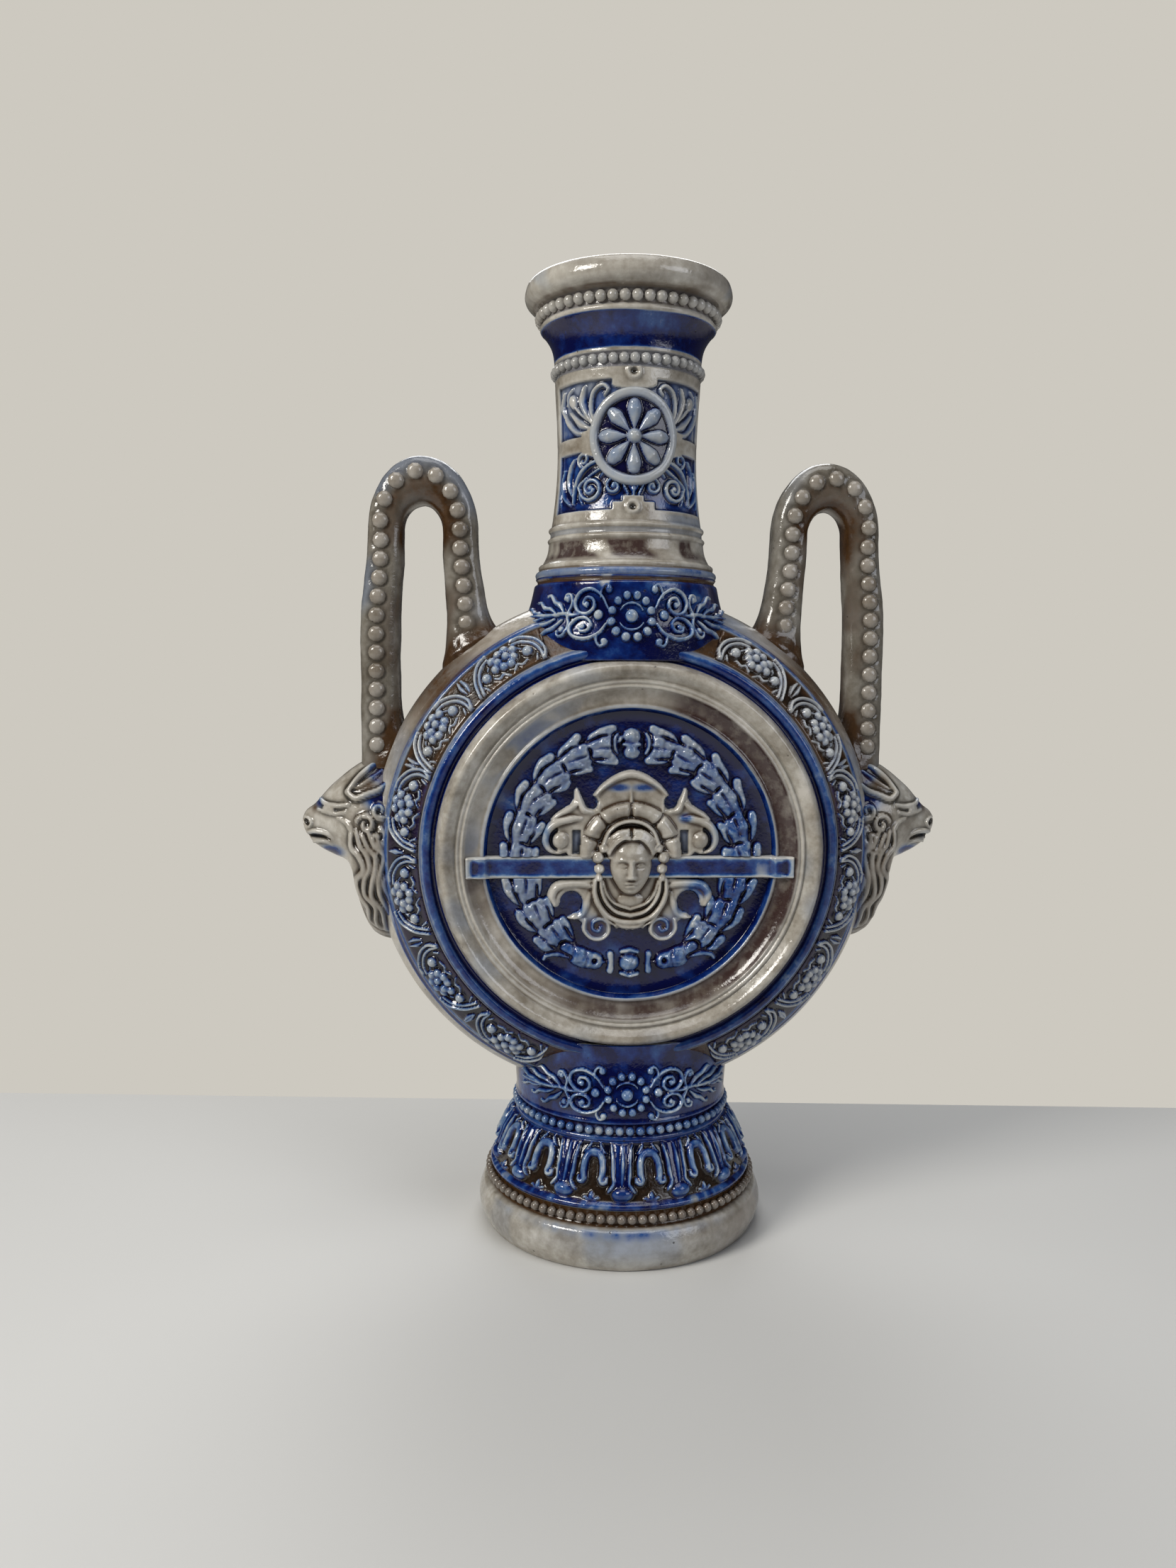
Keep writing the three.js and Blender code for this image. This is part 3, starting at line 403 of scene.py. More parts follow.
def around(radius, a, z):
    # places on a round pot, to read the random fields at
    return np.stack([radius * np.sin(a), radius * np.cos(a), z], -1)


def roll(a, b, out, count=9):
    # points from a to b, bowed out to the right of the way by half a sine wave
    t = np.linspace(0, 1, count)[:, None]
    a, b = np.array(a, float), np.array(b, float)
    way = b - a
    side = np.array([way[1], -way[0]]) / np.linalg.norm(way)
    return a + way * t + side * out * np.sin(np.pi * t)


def rounded(values, power):
    # sine or cosine bent towards a superellipse
    return np.sign(values) * np.abs(values) ** power


def softOutline(parts, gap):
    # outline of a turned piece, bottom to top, softened by a glaze's thickness
    outer = spaced(np.vstack(parts), gap)
    core = outer.copy()
    core[1:-1] = (outer[:-2] + 2 * outer[1:-1] + outer[2:]) / 4
    return core


def outlineNormals(core):
    way = np.gradient(core, axis=0)
    return np.stack([way[:, 1], -way[:, 0]], -1) / np.linalg.norm(way, axis=1)[:, None]


def outlineCrest(core, a, reach=0.9, scale=0.35):
    # crests and hollows of the outline itself, by the distance from a smoothed outline
    n = max(1, int(reach / np.linalg.norm(core[1] - core[0])))
    pad = np.pad(core, ((n, n), (0, 0)), mode="edge")
    kernel = np.hanning(2 * n + 3)[1:-1]
    kernel /= kernel.sum()
    mean = np.stack([np.convolve(pad[:, i], kernel, mode="valid") for i in (0, 1)], -1)
    crest = ((core - mean) * outlineNormals(core)).sum(-1) / scale
    return np.clip(0.5 + 0.5 * crest[:, None] + 0 * a, 0, 1)


def turnedPiece(name, node, slotName, look, outer, inner, paint, lift=None, share=None):
    # Surface of revolution: (R sin a, -R cos a * share(z), z), with R and z from the outline, moved out
    # along its normal by lift(a, z). a is 0 at the front.
    core, back, columns = softOutline(outer, look["gap"]), spaced(inner, 2.5), look["columns"]
    angles = np.linspace(-math.pi, math.pi, columns, endpoint=False)
    normal = outlineNormals(core)
    a, z = np.meshgrid(angles, core[:, 1])
    height = lift(a, z) if lift else np.zeros(a.shape)
    r, z = (np.vstack([core[:, i, None] + normal[:, i, None] * height, back[:, i, None] + np.zeros(columns)])
            for i in (0, 1))
    flat = share(z) if share else 1.0
    points = np.stack([r * np.sin(angles), -r * np.cos(angles) * flat, z], -1)
    glaze = np.concatenate([paint(a, np.repeat(core[:, 1:], columns, 1), core),
                            np.broadcast_to(mapOf(0.0, 0.1), (len(back), columns, 4))])
    return addPiece(name, points, gridQuads(len(points), columns, True, True), np.zeros((0, 3), int), glaze,
                    slotName, [node])


def beadRow(name, spots, normals, radius, glaze, squash=1.0, relief=0.42):
    # one small ball per spot: a unit sphere of ten by six faces, squashed along its normal
    u, v = np.meshgrid(np.linspace(0, 2 * np.pi, 10, endpoint=False), np.linspace(0, np.pi, 7)[1:-1])
    ball = np.stack([np.sin(v) * np.cos(u), np.sin(v) * np.sin(u), np.cos(v)], -1).reshape(-1, 3)
    ball = np.vstack([ball, [[0, 0, 1], [0, 0, -1]]])
    quads, tris = gridQuads(5, 10, False, True), np.vstack([fan(50, 0, 10, True), fan(51, 40, 10)])
    helper = np.where(np.abs(normals[:, 2:]) < 0.8, [[0, 0, 1]], [[1, 0, 0]])
    side = np.cross(helper, normals)
    side /= np.linalg.norm(side, axis=1)[:, None]
    up = np.cross(normals, side)
    points = spots[:, None] + radius * (ball[:, :1] * side[:, None] + ball[:, 1:2] * up[:, None]
                                        + squash * ball[:, 2:] * normals[:, None])
    shift = np.arange(len(spots))[:, None, None] * len(ball)
    look = np.broadcast_to(glaze, (len(spots), 4))[:, None] * np.ones((1, len(ball), 1))
    # crest rises from the ball's foot to its top: painted shade at the foot, painted highlight on top
    look[..., 2] = np.clip(0.45 + relief * ball[:, 2], 0, 1)
    return addPiece(name, points, (quads + shift).reshape(-1, 4), (tris + shift).reshape(-1, 3), look,
                    "grey_salt_glaze")


def ringBeads(name, ring, glaze):
    count, radius, level, size = ring
    a = np.arange(count) * 2 * math.pi / count
    normals = np.stack([np.sin(a), -np.cos(a), np.zeros(count)], -1)
    return beadRow(name, normals * [radius, radius, 0] + [0, 0, level], normals, size, glaze)


def reliefPiece(name, node, sheet, place, glaze, slotName, skirt=0.12, sink=0.35):
    # The raised part of a sheet as a closed skin: cells with any height, their copy below the ground, and
    # a wall along the border. place(x, y, h) lays it on the pot.
    h = sheet["h"]
    up = h > 0
    keep = up[:-1, :-1] | up[1:, :-1] | up[:-1, 1:] | up[1:, 1:]
    rows, columns = h.shape
    i, j = np.nonzero(keep)
    corner = i * columns + j
    top = np.stack([corner, corner + 1, corner + columns + 1, corner + columns], -1)
    edges = np.stack([top, np.roll(top, -1, axis=1)], -1).reshape(-1, 2)
    key = np.sort(edges, axis=1) @ [rows * columns, 1]
    _, where, counts = np.unique(key, return_inverse=True, return_counts=True)
    border = edges[counts[where] == 1]
    used, order = np.unique(top, return_inverse=True)
    number = np.zeros(rows * columns, int)
    number[used] = np.arange(len(used))
    top, n, b = order.reshape(-1, 4), len(used), number[border]
    walls = np.stack([b[:, 1], b[:, 0], b[:, 0] + n, b[:, 1] + n], -1)
    x, y, height = (sheet[key].ravel()[used] for key in "xyh")
    height = np.where(height > 0, height, -skirt)
    points = np.vstack([place(x, y, height), place(x, y, np.full(n, -sink))])
    look = glaze.reshape(-1, 4)[used]
    return addPiece(name, points, np.vstack([top, top[:, ::-1] + n, walls]), np.zeros((0, 3), int),
                    np.vstack([look, look]), slotName, [node])


faces = (("front", 1), ("back", -1))


def press(name, sheet, place, glaze, slotName="cobalt_salt_glaze", on=faces):
    # the same pressed piece on the front and, turned half round, on the back; WreathUpper on the front
    # stands for the node front_wreath_upper
    node = "".join("_" + letter.lower() if letter.isupper() else letter for letter in name)
    for face, turn in on:
        reliefPiece(face + name, face + node, sheet, lambda x, y, h: place(x, y, h) * [turn, turn, 1], glaze,
                    slotName)


# Levels that all pieces share, in mm
pot = {"collarTop": 53.7, "middle": 102.3, "shoulderTop": 172.0, "rosette": 206.0}
print("tools ready")

# Foot: standing ring, plinth roll, bead channel, blue ridge and the cone that carries the frieze. A row of
# beads has a count, the ring's radius, its level and the size of a bead.
footLook = {
    "columns": 616, "gap": 0.3, "bore": 22.5, "standInner": 32.0, "beads": (86, 35.6, 13.0, 1.22),
    "leaves": 14, "leafTurn": -4.3, "friezeRadius": 31.5,
    "outline": [
        [(36.2, 0), (36.8, 0.35), (37, 1)], roll((37.1, 1.1), (37.3, 10), 1.35),
        [(37, 10.35), (36.2, 10.7), (35.5, 10.9), (35, 11.4), (34.8, 13), (34.8, 14.6), (35.1, 15)],
        roll((35.3, 15.1), (34.8, 16.5), 0.45, 5), [(34.1, 16.9), (33.9, 17.2)],
        roll((33.9, 17.3), (28.5, 29.2), 0.3), [(28.6, 29.5), (28.6, 30)]],
}


def friezeSheet():
    # one unit of the frieze, a hanging leaf at 0 and half a loop to each side, y is the level
    sheet = newSheet(-7.5, 7.5, 15.5, 30.5, 0.15)
    unit = 2 * math.pi * footLook["friezeRadius"] / footLook["leaves"]
    c = unit / 2
    leaf = [((0, 30.4, 0, 27, 0, 23.5, 0, 20.8, 0, 18.6), [5.4, 4.8, 4.4, 3.8, 4.6], [0.9, 1, 1, 1, 1.2],
             "flat"),
            ((0.2, 29.6, 0.35, 25, 0.1, 20), [0.5, 1.3, 0.5], [0.4, 0.9, 0.3], "sharp", True)]
    loop = [((2.8, 29.4, 2.2, 26, 2, 22.6, 1.8, 20.9, 2.4, 19.8, 3.1, 19),
             [0.6, 1.1, 1.1, 1, 1.1, 0.7], [1.2, 1.6, 1.5, 1.4, 1.7, 1.4]),
            ((c, 27.4, c - 1.3, 27.1, c - 2.2, 25.6, c - 2.4, 23.4, c - 2.2, 21.6),
             [2.1, 2.1, 2, 1.9, 1.8], [1.4, 1.5, 1.7, 1.7, 1.8]),
            ((c - 1.7, 21.7, c - 2.4, 20.9, c - 3.3, 21.1, c - 3.5, 22), [1, 1.3, 1.2, 0.7],
             [1.5, 1.9, 1.8, 1.3]),
            ((c - 1.3, 29.7, c - 1.6, 28.6, c - 2.9, 27.2), [0.5, 0.9, 0.4], [0.8, 1.3, 0.9]),
            ((c, 16.6, c - 0.2, 17.8, c, 18.9), [1.8, 1.3, 0.3], 0.9, "leaf"),
            ((c - 0.5, 16.6, c - 1.4, 17.5, c - 1.9, 17.3), [1, 0.7, 0.4], 0.8)]
    for shift in (-unit, 0, unit):
        draw(sheet, leaf, 1, shift)
        dome(sheet, shift + 0.2, 18.6, 1.75, 2.0, 1.5)
        for side in (-1, 1):
            draw(sheet, loop, side, shift)
    return sheet


frieze = friezeSheet()
friezeCrest = crestMap(frieze, 4, 0.4)


def friezeAt(a, z):
    unit = 2 * math.pi / footLook["leaves"]
    turn = a - math.radians(footLook["leafTurn"])
    x = ((turn + unit / 2) % unit - unit / 2) * footLook["friezeRadius"]
    field = step(16.6, 17.2, z) * (1 - step(29.4, 29.9, z))
    return sample(frieze, frieze["h"], x, z) * field, sample(frieze, friezeCrest, x, z), field


def footPaint(a, z, core):
    p = around(36, a, z)
    streak = step(-0.2, 1.6, waves(p * [1, 1, 0.35], 16, 11))
    ahead = bell(a, -0.1, 0.9) + bell(np.abs(a), 2.7, 0.9)
    cobalt = 0.1 * band(1, 10.3, z) * streak + 0.16 * ahead * step(0, 7, z) * (1 - step(10.4, 11, z))
    cobalt += 0.15 * ahead * band(9.0, 10.7, z, 1.3) * (1 + 0.3 * waves(p * [1, 1, 0.2], 3, 12))
    relief, edge, field = friezeAt(a, z)
    raised = step(0.1, 0.6, relief)
    ragged = z + 1.5 * waves(p, 8, 13)
    cobalt += (0.75 + 0.2 * waves(p, 4, 14)) * band(15.0, 16.9, z, 0.2) + 0.5 * band(29.3, 30.5, z, 0.2)
    cobalt += field * (0.84 * raised + (1 - raised) * step(24, 27, ragged))
    soil = (1 - raised) * (1 - step(24, 27.5, ragged))
    brown = 1.0 * band(10.8, 14.8, z, 0.3) + field * soil + 0.3 * (1 - step(0.3, 2.0, z))
    # painted shade: brown over the plinth's right side
    brown += 0.5 * step(0.3, 0.9, a) * (1 - step(2.2, 2.8, a)) * (1 - step(9, 10.6, z))
    # painted shade: crest lowered on the frieze's ground between the leaves, so the glaze darkens it
    crest = outlineCrest(core, a) * (1 - field) + edge * field - 0.38 * field * (1 - raised)
    return mapOf(np.clip(cobalt, 0, 1), brown, crest)


turnedPiece("thrownFoot", "foot", "grey_salt_glaze", footLook, footLook["outline"],
            [(28, 30), (footLook["bore"], 30), (27.2, 15), (footLook["standInner"], 2),
             (footLook["standInner"], 0), (35.8, 0)],
            footPaint, lambda a, z: friezeAt(a, z)[0])
ringBeads("footBeads", footLook["beads"], (0.12, 0.75, 0.5, 0))

# Collar and shoulder: round at the joints with foot and neck, oval where they pass behind the torus
saddleLook = {
    "columns": 360, "gap": 0.35, "ovalDepth": 25.0, "collarRadius": 31.0, "shoulderRadius": 28.6,
    "beads": (68, 28.35, 32.7, 1.15),
    "collar": [
        [(28.6, 30), (28.75, 30.6), (28.5, 31.2), (27.7, 31.5), (27.5, 32), (27.5, 33.8), (27.8, 34.2)],
        roll((28.3, 34.3), (28.45, 35.3), 0.35, 5), [(28.3, 35.6)], roll((28.35, 36), (31, 53.7), -0.5)],
    "shoulder": [
        [(28.6, 150.9), (28.6, 157)], roll((28.5, 157.6), (24.1, 169.9), -0.6),
        [(24, 170.3), (23.3, 170.6), (23.1, 171.1), (23.4, 171.5), (23.7, 171.7), (23.7, 172)]],
}


def collarShare(z):
    return 1 - (1 - saddleLook["ovalDepth"] / saddleLook["collarRadius"]) * step(34.0, pot["collarTop"], z)


def shoulderShare(z):
    oval = 1 - saddleLook["ovalDepth"] / saddleLook["shoulderRadius"]
    return 1 - oval * step(0.0, 14.1, pot["shoulderTop"] - z)


def collarPaint(a, z, core):
    cobalt = 0.75 * (1 - step(31.2, 31.5, z)) + 0.75 * band(31.4, 34.6, z, 0.2)
    cobalt += (0.9 + 0.12 * waves(around(29, a, z), 8, 15)) * step(34.4, 34.8, z)
    return mapOf(np.clip(cobalt, 0, 1), 0.35 * band(31.2, 34.3, z, 0.2), outlineCrest(core, a))


def shoulderPaint(a, z, core):
    p = around(26, a, z)
    cobalt = 0.94 + 0.12 * waves(p, 8, 23) - 0.3 * bell(a * 26, 0, 12) * step(159, 166, z)
    cobalt -= 0.3 * step(0.2, 1.4, waves(p, 14, 21)) * step(158, 168, z)
    brown = 0.8 * band(170.5, 171.6, z, 0.15) + 0.25 * step(0.3, 1.2, waves(p, 9, 22)) * step(165, 170, z)
    return mapOf(cobalt, brown, outlineCrest(core, a))


turnedPiece("thrownCollar", "foot_collar", "cobalt_salt_glaze", saddleLook, saddleLook["collar"],
            [(30, 53.7), (22.5, 53.7), (22.5, 30), (28, 30)], collarPaint, share=collarShare)
ringBeads("collarBeads", saddleLook["beads"], (0.5, 0.1, 0.5, 0))
turnedPiece("thrownShoulder", "shoulder", "cobalt_salt_glaze", saddleLook, saddleLook["shoulder"],
            [(23, 172), (17, 172), (17, 150.9), (28, 150.9)], shoulderPaint, share=shoulderShare)

# Neck: flange, thrown lines and a waisted tube with a panel of pressed ornament, once in front, once behind
neckLook = {
    "columns": 390, "gap": 0.27, "bore": 13.5, "panelRadius": 18.2, "frame": 0.75,
    "outline": [
        [(23.4, 172)], roll((23.5, 172.1), (23.4, 173.8), 0.4, 5), [(22.9, 174), (22.8, 174.3)],
        roll((22.9, 174.4), (22.5, 175.6), 0.3, 5), [(21.9, 175.9)],
        roll((21.8, 176.1), (20.3, 181), -0.35, 7), [(20.25, 181.3)],
        roll((20.4, 181.4), (20.3, 182.4), 0.35, 5), [(19.9, 182.7), (19.85, 183.9)],
        roll((20.2, 184.1), (20, 185.2), 0.35, 5), [(19.6, 185.5), (19.45, 186.5)],
        roll((19.3, 187.4), (18.1, 206), -0.35, 15), roll((18.15, 206.2), (18.8, 219.8), -0.1, 11),
        [(18.85, 221.6), (18.9, 222), (18.9, 222.6)]],
}


def spiral(x, y, r0, r1, start, turns, count=18):
    # points on a spiral from radius r0 to r1; start in degrees, turns counted counterclockwise
    t = np.linspace(0, 1, count)
    a = math.radians(start) + 2 * math.pi * turns * t
    r = r0 + (r1 - r0) * t
    return np.stack([x + r * np.cos(a), y + r * np.sin(a)], -1)


def panelSheet():
    # half the neck's round, x from the middle of the panel, y the level; 0 is the panel's sunk ground
    sheet = newSheet(-29, 29, 186, 223, 0.18)
    sprays = [
        ((9.4, 208.6, 11.2, 212.6, 10.6, 216.8, 8.2, 218.6, 6.6, 217.6, 7.4, 216.2),
         [0.8, 1.2, 1.2, 1.1, 0.9, 0.8], 1.1),
        ((10.2, 208.8, 12.4, 211.6, 14, 215.2, 13.2, 218.4), [0.9, 2, 2.7, 0.8], 1.25, "leaf"),
        ((12.6, 210.6, 15, 212.6, 16.6, 214.2), [0.6, 0.8, 0.6], 0.9),
        ((11.4, 208.4, 14.6, 209.6, 18.2, 212.8), [0.8, 2.4, 0.6], 1.15, "leaf"),
        ((11.8, 207.4, 15.6, 207.7, 19.4, 210.4, 20.8, 212.6), [0.8, 1.9, 1.9, 0.5], 1.1, "leaf"),
        ((20.4, 211.8, 22, 214.6, 20.8, 218.2), [0.7, 2.1, 0.6], 1.1, "leaf"),
        ((17.2, 218.6, 19, 217.2, 19.6, 214.8), [0.6, 1.2, 0.5], 0.9, "leaf"),
        ((7.4, 200.2, 10.8, 200, 14.2, 197.8, 16, 194, 16.2, 190.2), [0.7, 1.1, 1.2, 1, 0.6], 1.15),
        ((6.4, 196.6, 7.4, 197.6, 8.6, 196.4), [0.5, 1.2, 0.4], 0.9, "leaf"),
        ((16.6, 192, 18.6, 195, 18.4, 198.8, 16.8, 201.4), [0.8, 2.1, 1.8, 0.5], 1.15, "leaf"),
        ((17.4, 190, 20.4, 192.2, 21.8, 195.8, 21, 199.2), [0.7, 1.9, 1.6, 0.5], 1.05, "leaf"),
        ((13.4, 190, 14.2, 191.8, 13.8, 193.4), [0.6, 1.3, 0.4], 0.9, "leaf"),
        ((22, 190, 23, 193, 22.8, 197), [0.5, 1.1, 0.4], 0.8, "leaf"),
        ((0.4, 193, 1.6, 195.4, 3, 197), [0.7, 1.4, 0.4], 1.0, "leaf")]
    for side in (-1, 1):
        draw(sheet, sprays, side)
        outer = spiral(side * 11.0, 193.7, 3.3, 0.9, 90 - side * 70, -side * 1.5)
        inner = spiral(side * 4.9, 194.0, 2.2, 0.7, 90 + side * 60, -side * 1.2)
        stroke(sheet, np.vstack([moved((6.2, 198.4, 8.6, 198.4), side), outer]), [0.8, 1.1, 1.1, 0.9], 1.2)
        stroke(sheet, np.vstack([moved((1.4, 192.2, 2.6, 194.8), side), inner]), [0.7, 0.9, 0.8], 1.15)
        stroke(sheet, spiral(side * 13.6, 200.9, 1.9, 0.7, 250, side * 1.1), 0.8, 1.0)
        dome(sheet, side * 17.2, 215.4, 1.5, 1.15, 1.3, side * 60)
        dome(sheet, side * 11.1, 193.7, 0.9, 1.2)
        dome(sheet, side * 5.0, 194.0, 0.8, 1.1)
    stroke(sheet, [(0, 192.0), (0, 195.4)], [0.8, 0.9], 1.1)
    # the raised frame: arched at the top, stepped at the foot, with a wide bar at the rosette's level
    x, y, flat = np.abs(sheet["x"]), sheet["y"], neckLook["frame"]
    top = np.where(x < 5.6, 218.8 - 1.4 * np.sqrt(np.clip(1 - (x / 5.7) ** 2, 0, 1)), 219.9)
    low = np.where(x < 2.6, 191.6, np.where(x < 5.2, 190.3, 188.3))
    rim = (y > top) | (y < low) | (x > 24.2) | ((x > 14) & (np.abs(y - 204.8) < 1.9))
    rim |= (x > 9) & (x < 14.2) & (np.abs(y - 205.0) < 4.2 - 0.35 * (x - 9))
    plateau = soften(rim.astype(float), 1)
    sheet["h"] = np.where(rim, flat, sheet["h"] * (1 - plateau)) + flat * plateau * (1 - rim)
    for level, size in ((221.6, 1.9), (188.9, 1.7)):
        ring = np.hypot(sheet["x"] + 0.2, y - level)
        sheet["h"] += 0.5 * bell(ring, size * 0.8, 0.42) - 0.45 * np.exp(-(ring / 0.75) ** 4)
    return sheet, soften(1 - plateau, 1)


panel, panelOpen = panelSheet()
panelCrest = crestMap(panel, 4, 0.4)


def panelAt(a, z):
    x = ((a + math.pi / 2) % math.pi - math.pi / 2) * neckLook["panelRadius"]
    field = step(186.8, 187.4, z)
    return (sample(panel, values, x, z) for values in (panel["h"], panelCrest, panelOpen)), field


def neckLift(a, z):
    (relief, _, _), field = panelAt(a, z)
    return (relief - neckLook["frame"]) * field


def neckPaint(a, z, core):
    p, arc = around(19, a, z), a * 19
    spots = [bell(arc, at, wide) for at, wide in ((-17.0, 5.0), (-1.0, 7.2), (14.0, 2.8))]
    stain = step(0.0, 0.9, 0.35 * waves(p, 6, 31) + 1.3 * sum(spots))
    (relief, edge, ground), field = panelAt(a, z)
    ground = ground * field
    wash = step(-0.6, 1.2, waves(p, 9, 33))
    blue = 0.66 - (0.24 + 0.14 * wash) * step(200, 207, z) - 0.14 * step(0.5, 0.9, relief)
    cobalt = 0.4 * band(172, 174, z, 0.15)
    cobalt += 0.18 * band(182.6, 184.0, z, 0.15) + ground * blue
    cobalt += 0.25 * band(184.6, 187.6, z, 0.5) * step(3, 12, arc) * (np.abs(arc) < 40)
    brown = 0.5 * band(173.8, 174.4, z, 0.1) + 0.1 * (1 - ground) * field
    purple = 1.2 * band(176.4, 181.0, z, 0.9) * stain
    crest = outlineCrest(core, a) * (1 - field) + edge * field
    return mapOf(np.clip(cobalt, 0, 1), brown, crest, np.clip(purple, 0, 1))


turnedPiece("thrownNeck", "neck", "cobalt_salt_glaze", neckLook, neckLook["outline"],
            [(18.3, 222.6), (neckLook["bore"], 222.6), (neckLook["bore"], 184.5), (17, 172), (22.8, 172)],
            neckPaint, neckLift)

# Mouth: bead row, blue cove, bead row and a rolled lip
mouthLook = {
    "columns": 280, "gap": 0.33, "lowBeads": (44, 18.75, 224.8, 1.38), "lipBeads": (48, 22.75, 238.4, 1.5),
    "outline": [
        [(18.9, 222.6), (18.6, 223.1), (18.45, 224.8), (18.6, 226.2)], roll((18.9, 226.3), (19, 227), 0.3, 4),
        roll((19.1, 227.3), (22.1, 234.9), -0.75), roll((22.4, 235.2), (22.7, 236.3), 0.4, 5),
        [(22.4, 236.6), (22.2, 238.3), (22.5, 239.9), (23.4, 240.4)],
        roll((24.1, 240.5), (26.2, 246.2), 1.6, 15), [(25.4, 247), (24, 247.4), (23, 247.5)]],
}


def mouthPaint(a, z, core):
    p, arc = around(22, a, z), np.abs(a * 22)
    cobalt = 0.25 * band(222.6, 226.6, z, 0.2) + 1.0 * band(227.4, 235.2, z, 0.4)
    cobalt -= 0.5 * bell(a * 22, 4, 9) * band(231.5, 236, z, 2.0)
    cobalt -= 0.45 * step(19, 30, arc) * step(32, 45, 60 - arc) * band(229, 236, z, 2.0)
    cobalt += 0.2 * band(236.4, 240.3, z, 0.2)
    cobalt += 0.22 * step(0.5, 1.8, waves(p, 12, 42)) * step(240.5, 242, z)
    brown = 0.45 * band(222.6, 226.6, z, 0.2) + 0.6 * band(236.6, 240.9, z, 0.25)
    brown += 0.35 * band(240.6, 242.0, z, 0.4) * step(-0.3, 0.8, waves(p, 7, 41))
    # painted shade: brown over the right side of the rolled lip; painted highlight: its crest raised all
    # round, twice as much on the left
    brown += 0.4 * step(0.2, 0.9, a) * (1 - step(2.0, 2.6, a)) * step(240.6, 241.6, z)
    crest = outlineCrest(core, a) + (0.14 + 0.14 * (1 - step(-0.8, 0.1, a))) * step(240.6, 241.6, z)
    return mapOf(np.clip(cobalt, 0, 1), brown, crest)


turnedPiece("thrownMouth", "mouth", "grey_salt_glaze", mouthLook, mouthLook["outline"],
            [(22, 247.3), (21.2, 246.3), (18.2, 236.4), (13.5, 222.6), (18.4, 222.6)], mouthPaint)
ringBeads("lowBeads", mouthLook["lowBeads"], (0.2, 0.2, 0.5, 0))
ringBeads("lipBeads", mouthLook["lipBeads"], (0.12, 0.32, 0.5, 0))

# Body: one pressed dish, used twice. Rows are [radius, depth] from the joint to the middle.
bodyLook = {
    "columns": 400, "gap": 0.33, "bore": 17.0, "field": 20.5, "inside": 15.5,
    "outline": [
        [(66.4, 0)], roll((66.75, 0.3), (63.75, 11.6), 1.05), [(63.3, 11.9), (62.7, 12.6)],
        roll((62.6, 12.9), (61.6, 15.2), 0.3, 5), [(61.3, 14.7)], [(60.9, 14.9), (53.1, 21.4)],
        roll((52.9, 21.7), (50.5, 22.8), 0.75, 9), [(50.3, 22.2), (50, 21.8), (49.4, 21.8), (49.1, 22.3)],
        roll((49, 23.1), (44.2, 23.9), 2.9, 15), [(44.05, 24)],
        roll((44, 24.2), (43.1, 24.3), 0.45, 7), [(42.95, 23.95)], roll((42.8, 24.2), (42, 24.1), 0.45, 7),
        [(41.8, 23.7)], roll((41.7, 23.6), (38.1, 22.2), -0.5, 9),
        roll((37.9, 22.3), (36.8, 22.3), 0.55, 7), [(36.6, 21.8), (36.4, 20.8), (36, 20.5)]],
}


def bodyPaint(a, radius, core):
    p = around(radius, a, core[:, 1:] + 0 * a)
    streak = step(-0.1, 1.7, waves(p * [1, 1, 0.5], 22, 51))
    cobalt = (0.06 + 0.2 * streak) * step(62.4, 63.4, radius) + 0.5 * band(61.6, 62.9, radius, 0.2)
    cobalt += 0.75 * band(62.4, 63.7, radius, 0.3) * step(1.7, 2.1, np.abs(a))
    cobalt += 0.25 * band(53.0, 61.6, radius, 0.2) + 1.0 * band(49.1, 50.3, radius, 0.15)
    ridge = (0.74 + 0.1 * waves(p, 14, 54)) * band(50.3, 52.1, radius, 0.15)
    cobalt += ridge + 0.42 * band(52.1, 53.0, radius, 0.1)
    cobalt += (0.05 + 0.16 * step(-0.2, 1.8, waves(p, 18, 52))) * band(44.1, 49.0, radius, 0.2)
    # the band between the ridges: a blue wash at the upper left, mauve all down the right side
    wash = bell(a, -0.75, 0.45) + 0.7 * bell(a, -1.55, 0.2)
    cobalt += 0.34 * wash * band(38.1, 41.8, radius, 0.5) * step(-1.2, 0.6, waves(p, 12, 55))
    cobalt += 0.22 * band(36.9, 37.9, radius, 0.15) + 0.7 * band(36.2, 36.9, radius, 0.15)
    cobalt += (0.95 + 0.2 * waves(p, 7, 56)) * (1 - step(35.9, 36.3, radius))
    joint = bell(np.abs(a), 0.85, 0.3) * step(61.8, 62.6, radius)
    brown = 0.95 * band(53.2, 61.3, radius, 0.3) + 0.12 * band(41.8, 44.2, radius, 0.15) + 0.85 * joint
    right = step(0.1, 0.5, a) * (1 - 0.35 * step(2.1, 2.6, a)) + 0.5 * bell(a, -1.75, 0.2)
    right += 0.6 * (1 - step(-3.0, -2.4, a))
    patch = right * (0.7 + 0.7 * step(-1.6, 0.2, waves(p, 8, 53))) * band(37.4, 42.2, radius, 0.6)
    patch = np.clip(patch, 0, 1)
    brown += 0.35 * patch + 0.2 * band(38.0, 41.6, radius, 0.4)
    # painted highlight: crest raised over the double ridge, so the glaze lightens it
    crest = outlineCrest(core, a) + 0.2 * band(41.6, 44.2, radius, 0.15)
    return mapOf(np.clip(cobalt, 0, 1), brown, crest, patch)


